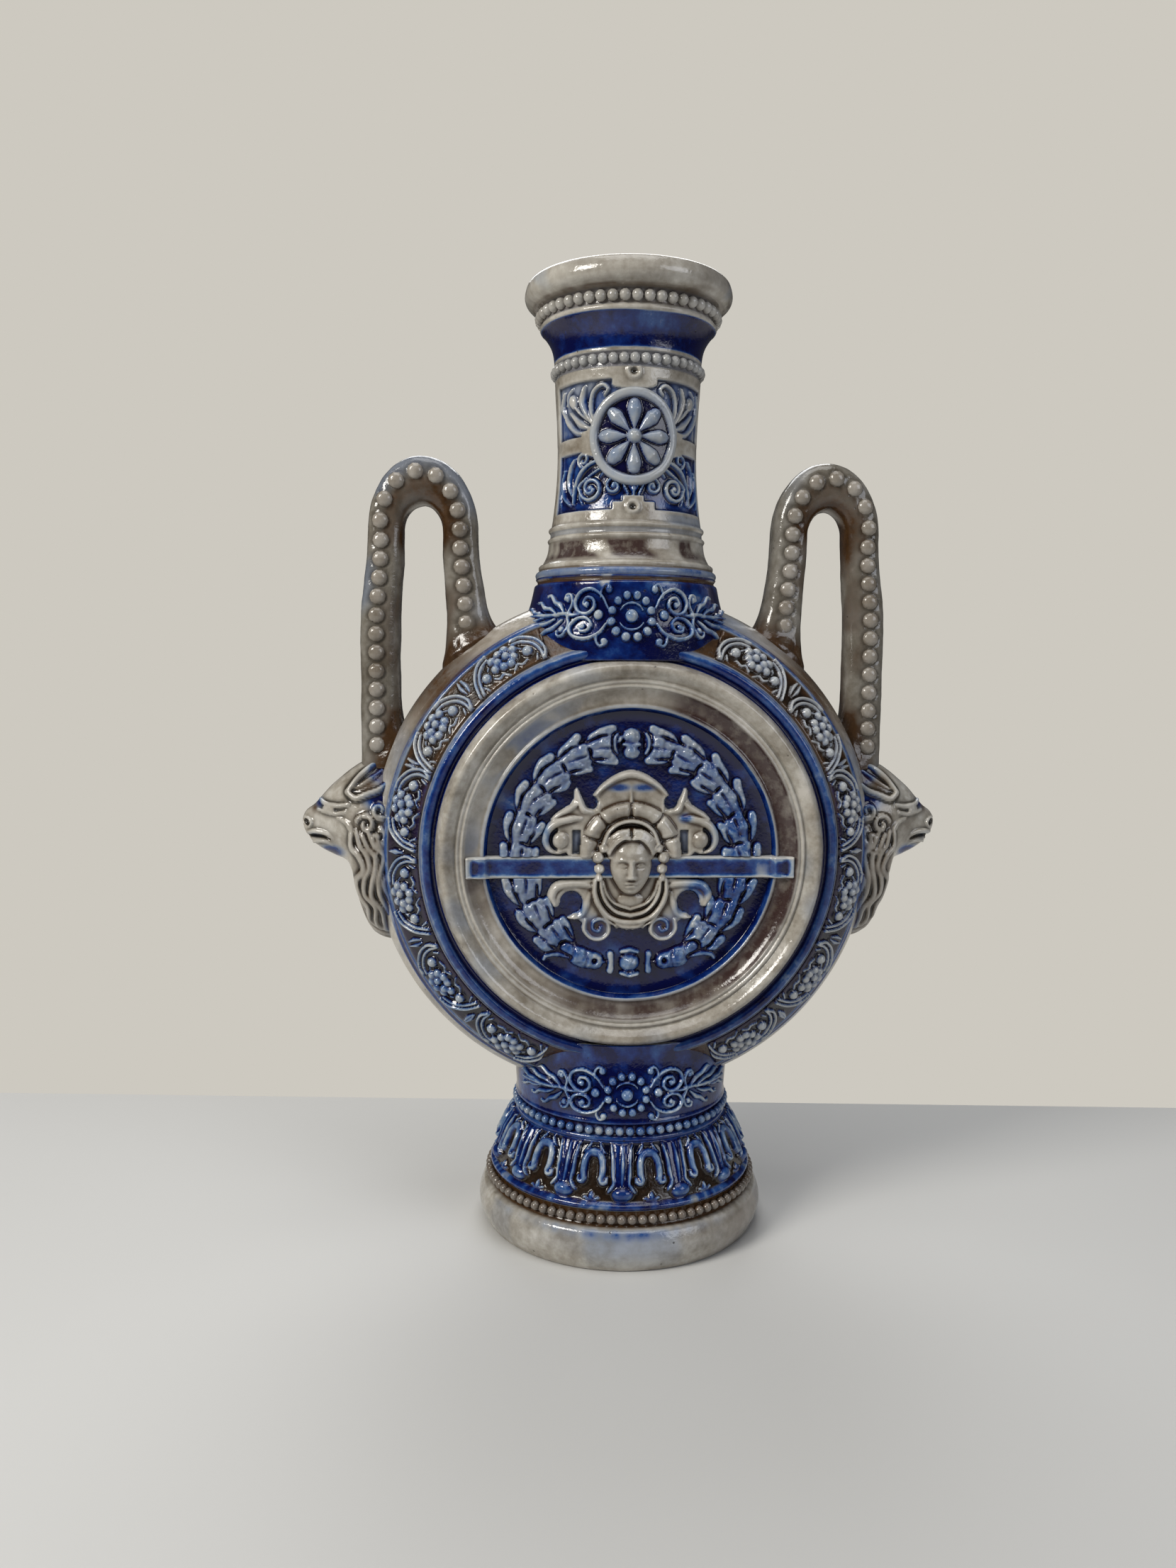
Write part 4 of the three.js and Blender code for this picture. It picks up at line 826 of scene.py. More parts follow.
def bodyHalf(name, node, turn):
    # Rings of (r sin a, -depth, middle + r cos a), a 0 at the top; a fan closes the middle out and in
    k, middle = bodyLook, pot["middle"]
    core, n = softOutline(k["outline"], k["gap"]), k["columns"]
    core = np.vstack([core, np.stack([np.linspace(core[-1, 0], 0, 14)[1:-1], np.full(12, k["field"])], -1)])
    back = spaced([(0.01, k["inside"]), (48, k["inside"]), (57.5, 9.6), (61.8, 0)], 4.0)[1:]
    rows = np.vstack([core, back])
    gate, count = len(core) - 1, len(rows)
    a = np.linspace(0, 2 * math.pi, n, endpoint=False)
    r, d = rows[:, :1], rows[:, 1:]
    ring = np.stack([r * np.sin(a), -d + 0 * a, middle + r * np.cos(a)], -1).reshape(-1, 3)
    points = np.vstack([ring, [[0, -k["field"], middle], [0, -k["inside"], middle]]])
    quads = gridQuads(count, n, True, True)
    quads = quads[(quads[:, 0] // n) != gate]
    tris = np.vstack([fan(count * n, gate * n, n), fan(count * n + 1, (gate + 1) * n, n, True)])
    look = bodyPaint(np.broadcast_to(np.where(a > math.pi, a - 2 * math.pi, a), (len(core), n)),
                     np.repeat(core[:, :1], n, 1), core)
    rest = np.broadcast_to(mapOf(0.0, 0.1), (len(back), n, 4))
    look = np.vstack([np.concatenate([look, rest]).reshape(-1, 4), [[1, 0, 0.5, 0], [0, 0.1, 0.5, 0]]])
    return addPiece(name, points * [turn, turn, 1], quads, tris, look, "grey_salt_glaze", [node])


def drillBore(piece, radius, low, high):
    # a straight hole along Z, taken out by a cylinder of 72 sides
    a = np.linspace(0, 2 * math.pi, 72, endpoint=False)
    rim = np.stack([radius * np.sin(a), radius * np.cos(a)], -1)
    ends = [np.column_stack([rim, np.full(72, level)]) for level in (low, high)]
    tool = bpy.data.meshes.new("boreTool")
    tool.from_pydata((np.vstack(ends) * mm).tolist(), [],
                     [list(range(72)), list(range(143, 71, -1))]
                     + [[(i + 1) % 72, i, i + 72, (i + 1) % 72 + 72] for i in range(72)])
    cutter = bpy.data.objects.new("boreTool", tool)
    bpy.context.scene.collection.objects.link(cutter)
    modifier = piece.modifiers.new("bore", "BOOLEAN")
    modifier.object, modifier.operation, modifier.solver = cutter, "DIFFERENCE", "EXACT"
    bpy.context.view_layer.update()
    made = bpy.data.meshes.new_from_object(piece.evaluated_get(bpy.context.evaluated_depsgraph_get()))
    piece.modifiers.clear()
    piece.data = made
    bpy.data.objects.remove(cutter)


halves = [bodyHalf("bodyFront", "body_front", 1), bodyHalf("bodyBack", "body_back", -1)]
for half in halves:
    drillBore(half, bodyLook["bore"], pot["middle"] + 40, pot["middle"] + 75)
print("thrown and pressed pieces ready")

# Handles: a flat loop of rounded section, with a row of beads along both of its faces
handleLook = {
    "centre": 53.0, "arch": 184.3, "outerWidth": 14.2, "outerRise": 19.0, "innerWidth": 4.9, "innerRise": 6.4,
    "spread": 2.2, "slotSpread": 1.2, "spreadOver": 26.0, "depth": 10.6, "low": 122.5, "innerLow": 136.0,
    "sides": 60, "gap": 0.48, "beadPitch": 4.78, "beadSize": 2.15, "beadSquash": 0.5, "flare": 4.2,
    "bodyRadius": 66.8,
}


def handleLine(k, side):
    # inner and outer edge of the loop, from the outer leg's foot over the arch to the inner leg's foot
    def leg(way, z):
        s = step(0, 1, (k["arch"] - z) / k["spreadOver"])
        inner = way * (k["innerWidth"] + k["slotSpread"] * s)
        outer = way * (k["outerWidth"] + k["spread"] * s)
        return np.stack([inner, z, outer, z], -1)

    up = np.linspace(k["low"], k["arch"], 80, endpoint=False)
    down = np.linspace(k["arch"], k["innerLow"], 60)[1:]
    t = np.linspace(math.pi, 0, 70)
    arch = np.stack([k["innerWidth"] * np.cos(t), k["arch"] + k["innerRise"] * np.sin(t),
                     k["outerWidth"] * np.cos(t), k["arch"] + k["outerRise"] * np.sin(t)], -1)
    line = np.vstack([leg(-1, up), arch, leg(1, down)])
    marks = lengthMarks((line[:, :2] + line[:, 2:]) / 2)
    even = np.linspace(0, marks[-1], int(marks[-1] / k["gap"]))
    line = np.stack([np.interp(even, marks, line[:, i]) for i in range(4)], -1)
    line[:, [0, 2]] -= k["centre"]
    line[:, [0, 2]] *= -side
    return line, even


def handlePiece(name, node, side, seed):
    # Section: half width and half depth times a superellipse of power 2.7, carried along the loop
    k = handleLook
    line, even = handleLine(k, side)
    t = np.linspace(0, 2 * math.pi, k["sides"], endpoint=False)
    c, s = rounded(np.cos(t), 2 / 2.7), rounded(np.sin(t), 2 / 3.2)
    middle, reach = (line[:, :2] + line[:, 2:]) / 2, (line[:, 2:] - line[:, :2]) / 2
    out = np.stack([reach[:, None, 0] * c, k["depth"] / 2 * s + 0 * middle[:, :1], reach[:, None, 1] * c], -1)
    raw = out + np.stack([middle[:, :1], 0 * middle[:, :1], middle[:, 1:]], -1)
    out /= np.linalg.norm(out, axis=-1, keepdims=True)
    wobble = 0.06 * waves(raw, 9, seed) + 0.02 * waves(raw, 2.5, seed + 1)
    # the row of beads runs nearer the outer edge on the outer leg, and most of all over the arch, and a
    # pressed ring lies round every bead
    marks = np.arange(k["beadPitch"] * 1.3, even[-1], k["beadPitch"])
    share = even / even[-1]
    offset = (0.14 * (1 - step(0.55, 0.66, share)) + 0.2 * bell(share, 0.5, 0.09))[:, None]
    along = np.abs(even[:, None] - marks).min(1)[:, None]
    moat = np.hypot(along, np.linalg.norm(reach, axis=1)[:, None] * (c - offset)) - k["beadSize"] - 0.1
    moat = bell(moat, 0, 0.5) * (np.abs(s) > 0.75)
    # clay smeared over the joint: the section widens towards the body, most on the shoulder's side
    clear = np.hypot(raw[..., 0], raw[..., 2] - pot["middle"]) - k["bodyRadius"]
    beyond, late = np.clip(clear, 0, None), step(0.55, 0.62, share)[:, None]
    flare = k["flare"] * (0.3 + 0.3 * late * (1 + c)) * np.exp(-beyond / (1.3 + 1.6 * late))
    points = raw + out * (wobble - 0.22 * moat + flare * (clear > -3))[..., None]

    height = raw[..., 2]
    # painted shade: brown in patches along the loop's inner side, and under the arch's top on that side
    innerShade = 0.85 * step(-0.2, 0.8, -c * np.ones_like(height)) * step(-1.0, 0.6, waves(raw, 15, seed + 2))
    foot = bell(beyond, 0, 3.5)
    brown = 0.6 * innerShade + 0.55 * step(174, 184, height) * step(-0.35, 0.1, -c) + 0.9 * foot + 0.12 * moat
    blue = (0.05 + 0.17 * step(-0.2, 1.4, waves(raw, 26, seed + 3))) * step(-0.4, 0.9, c) * (1 - foot)
    # the crest held below level darkens the handle's clay all over, and lower in the rings round the beads as
    # painted shade
    look = mapOf(blue, np.clip(brown, 0, 1), 0.34 - 0.06 * moat).reshape(-1, 4)
    points = np.vstack([points.reshape(-1, 3), points[0].mean(0), points[-1].mean(0)])
    addPiece(name, points, gridQuads(*height.shape, False, True), tubeEnds(*height.shape),
             np.vstack([look, look[:2]]), "grey_salt_glaze", [node])

    beadLine = middle + reach * offset
    spots = np.stack([np.interp(marks, even, beadLine[:, i]) for i in (0, 1)], -1)
    free = (np.hypot(spots[:, 0], spots[:, 1] - pot["middle"]) > 68) & (spots[:, 1] > k["low"] + 3)
    for face, y in (("Front", -1), ("Back", 1)):
        at = np.insert(spots[free], 1, y * (k["depth"] / 2 - 0.15), axis=1)
        beadRow(name + "Beads" + face, at, np.tile([[0.0, y, 0.0]], (len(at), 1)), k["beadSize"],
                (0.06, 0.42, 0.34, 0), k["beadSquash"], 0.06)


handlePiece("leftHandle", "left_handle", -1, 61)
handlePiece("rightHandle", "right_handle", 1, 71)
print("handles ready")

# Animal heads: rings from the mane on the body out to the nose, each with its top, bottom and width;
# the carving is drawn once from the side and pressed into both flanks.
headLook = {
    "rings": [(-57, 123.5, -57, 76, 25), (-64.5, 124.4, -64, 77.5, 26), (-69, 124, -67.5, 80.5, 24.5),
              (-72, 122.3, -70.2, 87.5, 22), (-75, 119.9, -71.4, 93.5, 19), (-77.5, 117.7, -73.2, 97.4, 16.5),
              (-79.6, 115.4, -76.5, 99.1, 13), (-81.8, 112.9, -79.8, 100.8, 10.6),
              (-84, 111.2, -82.3, 102.7, 8.2), (-84.9, 109.6, -84, 105, 5.4),
              (-85, 108.4, -84.7, 106.4, 2.4)],
    "rows": 138, "columns": 204, "sheet": (56, 87, 74, 128, 0.15), "caps": [(57, 0, 100), (85.05, 0, 107.4)],
}


def headSheet():
    # side view in mm, x from the bottle's axis outwards as a positive number, y up
    sheet, slit = newSheet(*headLook["sheet"]), newSheet(*headLook["sheet"])
    draw(sheet, [
        # ear: a raised leaf outline round a hollow with a rib
        ((72.3, 116.6, 69.5, 120.2, 66.2, 123, 62.4, 125.6, 59.6, 126.4, 59.2, 124.8, 60.6, 120.6,
          63.4, 117.6, 67, 116.2, 70, 115.2, 72.3, 116.6), 1.5, 1.7),
        ((70.5, 117.6, 67.6, 119.2, 64.2, 121.6, 61.2, 124.2), [0.4, 0.9, 0.5], 0.8),
        # brow and lid
        ((80.4, 114.2, 78, 113.2, 74.9, 113, 71.8, 113.6), [0.7, 1.5, 0.6], 1.1),
        ((80.6, 111.8, 78.2, 111.2, 75.2, 111, 72.6, 111.6), [0.5, 1.1, 0.5], 0.8),
        # nostril rim, lips and jaw
        ((84.4, 109.6, 83, 109.2, 82.2, 108.2, 82.8, 107.2), [0.5, 1, 0.6], 0.7),
        ((83.6, 105.6, 81.6, 106, 79.2, 105.9, 77.4, 105.2, 76.4, 104.2), [0.8, 1.4, 1.2, 0.5],
         [0.7, 0.8, 0.6, 0.3]),
        ((82.2, 102.9, 80, 103.5, 78, 103.2, 76.6, 102.4), [0.7, 1.2, 0.5], [0.7, 0.8, 0.3]),
        ((75, 110, 72.4, 108.8, 70.9, 106.4, 71.2, 103.6), [0.5, 1.6, 0.6], 0.6)])
    dome(sheet, 77.4, 112.0, 1.35, 1.1, 1.35, 5)
    # curls behind the cheek
    for x, y, r, turn in ((67.2, 108.6, 2.5, 20), (63.6, 112.2, 2.3, 200), (64.2, 105.2, 2.4, 110)):
        t = np.linspace(0, 2.1 * math.pi, 16)
        size = r * (1 - 0.36 * t / math.pi)
        a = t + math.radians(turn)
        stroke(sheet, np.stack([x + size * np.cos(a), y + size * np.sin(a)], -1), [1.2, 1.3, 0.8], 1.35)
    # long waving locks of the mane, six side by side
    lock = moved((69.8, 106, 69, 102.6, 66.6, 100.4, 66.4, 97, 68, 93.8, 67.4, 89.8, 65.6, 86.4, 64.9, 82.4,
                  64.2, 79.6))
    for i, shift in enumerate((1.9, 0.0, -1.9, -3.8, -5.7, -7.4)):
        bend = np.stack([0.5 * np.sin(lock[:, 1] * 0.7 + i), 0 * lock[:, 0]], -1)
        bend += lock + [shift, 0.6 * (i % 2)]
        stroke(sheet, bend, [1.3, 1.9, 1.8, 1.5, 0.8], [1, 1.4, 1.3, 1.2, 0.8])
    # grooves: the slit of the mouth and the nostril
    stroke(slit, moved((83.6, 104.2, 81.4, 104.6, 79.2, 104.5, 77.2, 103.9)), [0.8, 1.2, 0.9, 0.4],
           [1.7, 1.9, 1.2, 0.4])
    dome(slit, 83.6, 108.3, 0.75, 1.0, 1.5, 60)
    sheet["h"] = soften(sheet["h"], 1) - soften(slit["h"], 1)
    return sheet


def headPiece(name, node, side, sheet):
    k = headLook
    rings = smoothLine(k["rings"], 0.02)
    rings = rings[np.linspace(0, len(rings) - 1, k["rows"]).astype(int)]
    t = np.linspace(0, 2 * math.pi, k["columns"], endpoint=False)
    c, s = rounded(np.cos(t), 0.92), rounded(np.sin(t), 0.92)
    xt, zt, xb, zb, w = (rings[:, i:i + 1] for i in range(5))
    x = -((xt + xb) / 2 + (xt - xb) / 2 * s)
    z = (zt + zb) / 2 + (zt - zb) / 2 * s
    y = w / 2 * c
    carve, crest = (sample(sheet, values, x, z) for values in (sheet["h"], crestMap(sheet, 5, 0.5)))
    hair = (1 - step(69, 72.5, x)) * (1 - step(110, 114, z))
    # the carving of the flanks fades towards the middle; on the chest waving locks run down instead
    flank = step(0.12 + 0.25 * hair, 0.5 + 0.25 * hair, np.abs(c))
    chest = hair * (1 - flank) * (s < 0) * np.cos(2 * math.pi * (y + 0.5 * np.sin(0.6 * z)) / 2.5)
    out = np.stack([0 * x, c + 0 * x, 0.35 * s + 0 * x], -1)
    out /= np.linalg.norm(out, axis=-1, keepdims=True)
    points = np.stack([side * x, y, z], -1) + out * (carve * flank + 0.4 * chest)[..., None]

    # paint: place, reach across and up, and strength of each patch of cobalt and of brown
    cobalt, brown = 0.8 * (1 - step(60.5, 64.5, x)) * step(76, 82, z), 0.42 * hair
    for cx, cz, rx, rz, blue, soil in (
            (62.2, 122, 2.6, 3, 0.9, 0), (77, 100.6, 3.4, 1.7, 0.85, 0), (80.4, 113.4, 1.5, 1.5, 0.5, 0),
            (64, 114.4, 3.2, 2, 0.9, 0), (64.8, 121.4, 2.4, 1.8, 0.75, 0), (81.5, 105, 2, 0.8, 0.5, 0),
            (81.5, 112.2, 1.3, 1.6, 0, 0.8), (67, 118.8, 4, 2.5, 0, 0.7), (79, 104.6, 4.5, 0.9, 0, 0.45)):
        spot = np.exp(-(((x - cx) / rx) ** 2 + ((z - cz) / rz) ** 2))
        cobalt, brown = cobalt + blue * spot, brown + soil * spot
    # on the chest the crest follows the waving locks: painted highlight on their ridges, painted shade
    # between them
    crest = crest * flank + 0.5 * (1 - flank) + 0.28 * chest
    look = mapOf(*(np.clip(values, 0, 1) for values in (cobalt, brown, crest))).reshape(-1, 4)
    addPiece(name, np.vstack([points.reshape(-1, 3), np.array(k["caps"]) * [side, 1, 1]]),
             gridQuads(*x.shape, False, True), tubeEnds(*x.shape), np.vstack([look, mapOf(np.zeros(2))]),
             "grey_salt_glaze", [node])


carving = headSheet()
headPiece("leftRamHead", "left_ram_head", -1, carving)
headPiece("rightRamHead", "right_ram_head", 1, carving)
print("animal heads ready")


def onField(x, y, h):
    # a sheet laid on the front's sunk field: x to the right, y up from its middle
    return np.stack([x, -(bodyLook["field"] + h), pot["middle"] + y], -1)


# Straps: a flat band over the medallion, bent over its inner ridge, blue between grey edges
strapLook = {"height": 5.8, "drop": 3.2, "half": 42.0, "cell": 0.3,
             "across": [0, 33.8, 35.4, 36.6, 38, 39.6, 42], "rise": [1.9, 1.9, 2.3, 3.4, 3.5, 3, 4.1]}


def strapSheet(k):
    sheet = newSheet(-k["half"], k["half"], -k["drop"] - 3, -k["drop"] + 3, k["cell"])
    x, y = np.abs(sheet["x"]), np.abs(sheet["y"] + k["drop"])
    q = np.clip((k["height"] / 2 - y) / 0.55, 0, 1)
    end = np.clip((k["half"] - x) / 0.8, 0, 1)
    top = np.interp(x, k["across"], k["rise"]) * (0.55 + 0.45 * np.sqrt(q))
    sheet["h"] = (top + 0.28 * bell(y, 2.45, 0.3)) * (q > 0) * np.sqrt(end)
    return sheet


def flatPlaces(sheet):
    # the grid's places on a plane, to read the random fields at
    return np.stack([sheet["x"], sheet["y"], 0 * sheet["x"]], -1)


strap = strapSheet(strapLook)
strapCobalt = 0.85 + 0.16 * waves(flatPlaces(strap), 9, 85)
strapCobalt = strapCobalt * (1 - 0.75 * step(1.95, 2.45, np.abs(strap["y"] + strapLook["drop"])))
strapCobalt = np.clip(strapCobalt * (1 - 0.6 * step(38.5, 41, np.abs(strap["x"]))), 0, 1)
press("Strap", strap, onField, mapOf(strapCobalt, 0.0, crestMap(strap, 3, 0.5)))
print("straps ready")

# Wreath: two branches that grow from a knot at the bottom to one at the top, bundle over bundle. A bundle
# has one fleshy leaf with a scalloped tip and a slim curled leaf on each side.
wreathLook = {"radius": 28.0, "cell": 0.235, "bundles": 9, "first": -58.0, "last": 66.0, "gate": 2.6,
              "bottomKnot": -27.8, "topKnot": 28.0}


def wreathSheet(k):
    sheet = newSheet(-34, 34, -33.5, 34, k["cell"])
    pick = np.random.default_rng(81)
    for side in (-1, 1):
        for middle in np.linspace(k["last"], k["first"], k["bundles"]):
            def at(*pairs):
                # along the branch in mm from the leaf's foot, and out from the middle line of the wreath
                along, out = np.reshape(pairs, (-1, 2)).T
                a, r = math.radians(middle) + along / k["radius"], k["radius"] + out
                return np.stack([side * r * np.cos(a), r * np.sin(a)], -1)

            j = pick.uniform(-0.35, 0.35, 12)
            carved(sheet, at(0.2, 1.6, 2.8, 3.0, 5.2, 3.6 + j[0], 7.2 + j[2], 4.2 + j[1]),
                   [1.6, 2.8, 3.2, 2.6], [1, 1.9, 2.3, 1.9], "flat", 0.2)
            carved(sheet, at(0.6, -1.6, 3.0, -2.9, 5.2, -3.5 + j[3], 6.8 + j[5], -4.1 + j[4]),
                   [1.5, 2.5, 2.9, 2.4], [1, 1.8, 2.2, 1.8], "flat", 0.2)
            carved(sheet, at(-1.2, 0, 1.6, 0.1, 4.4, j[6] * 0.6, 6.4, j[6]), [2.6, 4.6, 5.8, 4.6],
                   [1.3, 2.2, 2.7, 2.5], "flat", 0.3, 0.7)
            stroke(sheet, at(4.6, -1.5, 7.0 + 1.6 * j[8], -2.2 + j[9]), [3.2, 2.5], [2.6, 2.1], "flat")
            stroke(sheet, at(5.0, 1.2, 7.9 + 1.6 * j[10], 1.3 + j[11]), [3.4, 2.6], [2.8, 2.2], "flat")
            stroke(sheet, at(1.6, 0.3, 4.4, -0.1 + j[6], 7.2, -0.6 + j[9]), 0.7, [-0.1, -0.6, -1.1],
                   over=True)
            stroke(sheet, at(3.6, 1.7, 6.6, 1.9 + j[11]), 0.5, [-0.1, -0.5], over=True)
    # bottom: each stem ends in a bulb with an eye, then a stalk, a cuff and the round knot
    low, top = k["bottomKnot"], k["topKnot"]
    for side in (-1, 1):
        carved(sheet, moved((16.4, -23.6, 12.6, -26.3, 8.8, -27.4), side), [3.2, 5.6, 4.8], [1.8, 2.6, 2.2],
               "round", 0.3)
        dome(sheet, side * 8.9, -27.3, 0.85, -1.5, over=True)
        draw(sheet, [((11.4, -28.8, 10.7, -26.6, 11.2, -24.6), 0.5, -0.7, "round", True),
                     ((14.6, -26.6, 14, -24.9, 14.4, -23.2), 0.5, -0.6, "round", True)], side)
        carved(sheet, moved((15.4, -26.4, 18.2, -25.6, 20.9, -25.8, 21.8, -26.8), side), [1.2, 1.7, 1.6, 1.3],
               [1.2, 1.6, 1.6, 1.3], "round")
        stroke(sheet, moved((6.8, low + 0.2, 5.2, low), side), 1.0, 1.3)
        draw(sheet, [((4.9, low - 2.1, 4.7, low, 4.9, low + 2.1), [2, 1.7, 2], [2, 1.8, 2], "flat"),
                     ((3.5, top - 2.5, 4.2, top - 1.2, 4.3, top + 1.2, 3.5, top + 2.5), [1.1, 1.3, 1.3, 1.1],
                      [1.6, 2, 2, 1.6], "round")], side, tool=carved)
    dome(sheet, 0, low, 2.75, 3.0)
    for way in (-1, 1):
        for x, end, middle, *rest in ((2.1, 2.8, 3.3, [1.2, 1.6, 1.2], 2.3),
                                      (2.6, 1.5, 1.9, 0.45, -0.7, "round", True)):
            stroke(sheet, [(-x, low + way * end), (0, low + way * middle), (x, low + way * end)], *rest)
    dome(sheet, 0, top + 1.9, 2.2, 2.8, 1.15)
    dome(sheet, 0, top - 2.1, 2.0, 2.5, 1.15)
    stroke(sheet, [(-2.0, top - 0.2), (0, top - 0.4), (2.0, top - 0.2)], 1.3, 2.4)
    for x in (-0.8, 0.8):
        stroke(sheet, [(x, top + 3.4), (x * 1.2, top + 0.9)], 0.45, -0.4, over=True)
    sheet["h"] = soften(np.clip(sheet["h"], 0, None), 1) * (sheet["h"] > 0)
    # the leaves are worn and uneven: small dents all over them
    dents = 0.09 * waves(flatPlaces(sheet), 2.6, 61) + 0.07 * waves(flatPlaces(sheet), 1.5, 62)
    sheet["h"] = sheet["h"] + dents * step(0.5, 1.2, sheet["h"])
    return sheet


wreath = wreathSheet(wreathLook)
wreathCrest = crestMap(wreath, 5, 1.0)
wreathCobalt = 0.39 + 0.14 * step(-5, 25, wreath["x"] - wreath["y"])
wreathCobalt += 0.55 * (1 - step(0.7, 1.6, wreath["h"]))
wreathCobalt = np.clip(wreathCobalt + 1.1 * np.clip(0.5 - wreathCrest, 0, 0.4), 0, 1)
# crest lowered a little, so the glaze's painted shade in the hollows reaches further
wreathGlaze = mapOf(wreathCobalt, 0.12, wreathCrest - 0.02)
for half, side in (("Upper", 1), ("Lower", -1)):
    clear = side * (wreath["y"] + strapLook["drop"]) > wreathLook["gate"]
    press("Wreath" + half, {**wreath, "h": np.where(clear, wreath["h"], 0)}, onField, wreathGlaze)
print("wreaths ready")

# Cartouche with a small head: scrolls round an arch, a fan behind the head, a veil under the chin
maskLook = {
    "cell": 0.235, "plate": 1.5, "chin": -10.6, "crown": 5.4, "faceWidth": 11.4, "rise": 5.0,
    # cobalt: place, reach across and up, strength, and whether it lies on the right side only
    "cobalt": [(3.2, 17, 3, 1, 0.75, False), (21.6, 5.5, 1.6, 4.5, 0.55, False),
               (8.6, -18.6, 2.6, 2.6, 0.85, False), (17.6, -8.4, 4.2, 2.6, 0.7, True),
               (12.4, -14.4, 1.8, 2.4, 0.45, False), (13.8, 9.3, 1.7, 1.2, 0.8, True)],
}


def arcPoints(x, y, r, start, end, count=9):
    a = np.radians(np.linspace(start, end, count))
    return np.stack([x + r * np.cos(a), y + r * np.sin(a)], -1)


def cartoucheOutline():
    # the right half from the top down, then its mirror image back up
    half = np.vstack([
        moved((0, 21.3, 2.4, 20.7, 4.8, 19.4, 7.4, 17.6, 9.2, 15.9, 9.5, 15.2)),
        arcPoints(10.0, 13.2, 1.7, 105, 330, 9),
        moved((12.2, 14.2, 13, 16, 13.7, 16.9, 14.4, 16.2, 14.5, 14.2, 15.6, 12.6, 17.4, 11.3, 20, 9.4)),
        arcPoints(18.4, 3.8, 4.0, 50, -120, 12),
        moved((15.2, -1, 12, -1.2, 9, -6, 13, -6.2, 17, -6.3)),
        arcPoints(17.0, -10.2, 3.9, 80, -38, 9),
        moved((19.2, -13.6, 18.1, -13.4, 17.6, -12.2)),
        arcPoints(14.9, -12.2, 2.8, 15, 262, 12),
        moved((15.9, -16.3, 13.4, -16.7, 12.3, -17.6)),
        arcPoints(8.3, -18.5, 3.8, 8, -170, 12),
        moved((4.6, -17.9, 3.6, -19.3, 2, -18.8, 0.9, -19.7, 0, -19.4))])
    return np.vstack([half, moved(half[1:-1], -1)[::-1]])


def drawFace(sheet, k):
    # a face of plain thirds from hairline to chin for brow, nose and mouth, five eyes wide
    x, y = sheet["x"], sheet["y"]
    hairline = k["crown"] - 1.6
    third = (hairline - k["chin"]) / 3
    brow, nose = hairline - third, k["chin"] + third
    mouthLine, eye = nose - third / 3, brow - third * 0.27
    eyeWide = k["faceWidth"] / 5
    top, wide = (k["crown"] + k["chin"]) / 2 + 0.5, k["faceWidth"] / 2
    taper = wide * (1 - 0.2 * step(0, 1, (top - y) / (top - k["chin"])))
    tall = np.where(y > top, k["crown"] + 1.2 - top, top - k["chin"] + 0.1)
    q = np.clip(1 - np.abs(x / taper) ** 2.3 - np.abs((y - top) / tall) ** 2.2, 0, 1)
    face = k["rise"] * q ** 0.5

    def hump(cx, cy, rx, ry, rise):
        # on both sides of the middle line, or once where it stands on that line
        return rise * (np.exp(-(((x - cx) / rx) ** 2 + ((y - cy) / ry) ** 2))
                       + np.exp(-(((x + cx) / rx) ** 2 + ((y - cy) / ry) ** 2))) / (2 if cx == 0 else 1)

    # brow, socket, eyeball and cheek
    face += hump(eyeWide * 1.05, brow - 0.05, eyeWide * 0.75, 0.5, 0.4) + hump(0, brow + 1.6, 3.2, 1.3, 0.35)
    face -= hump(eyeWide * 1.0, eye + 0.1, eyeWide * 0.62, 0.85, 0.85)
    face += hump(eyeWide, eye, eyeWide * 0.42, 0.48, 0.6)
    face += hump(eyeWide * 1.55, nose + 0.4, 1.5, 1.4, 0.35)
    # nose, lips and chin
    ridge = np.clip((brow - y) / (brow - nose), 0, 1)
    onNose = band(nose - 0.1, brow + 0.1, y, 0.35)
    face += (0.45 + 1.15 * ridge ** 1.3) * bell(x, 0, 0.62 + 0.35 * ridge) * onNose
    face += hump(0.85, nose + 0.3, 0.42, 0.42, 0.55) - hump(0.5, nose - 0.35, 0.3, 0.2, 0.35)
    face -= hump(0, (nose + mouthLine) / 2, 0.3, 0.6, 0.12)
    bow = y - (mouthLine + 0.1 * np.cos(x * 1.9))
    span = 1 - step(1.15, 1.85, np.abs(x))
    face += 0.5 * bell(bow, 0.38, 0.33) * span
    face += 0.55 * bell(bow, -0.5, 0.42) * (1 - step(0.8, 1.6, np.abs(x)))
    face -= 0.55 * bell(bow, 0, 0.16) * span
    face += hump(0, k["chin"] + 1.25, 1.35, 0.9, 0.5) - hump(0, mouthLine - 1.35, 1.2, 0.35, 0.2)
    lay(sheet, np.where(q > 0, face, 0))
    # lids and eyebrows
    for side in (-1, 1):
        e = side * eyeWide
        for lift, rise in ((0.42, 0.3), (-0.36, 0.2)):
            lid = [(e - 0.95, eye - 0.05), (e, eye + lift), (e + 0.95, eye - 0.05)]
            stroke(sheet, lid, [0.25, 0.4, 0.25], rise, over=True)
        stroke(sheet, [(e - 1.1, brow - 0.35), (e, brow + 0.1), (e + 1.2, brow - 0.3)], 0.5, 0.18, over=True)


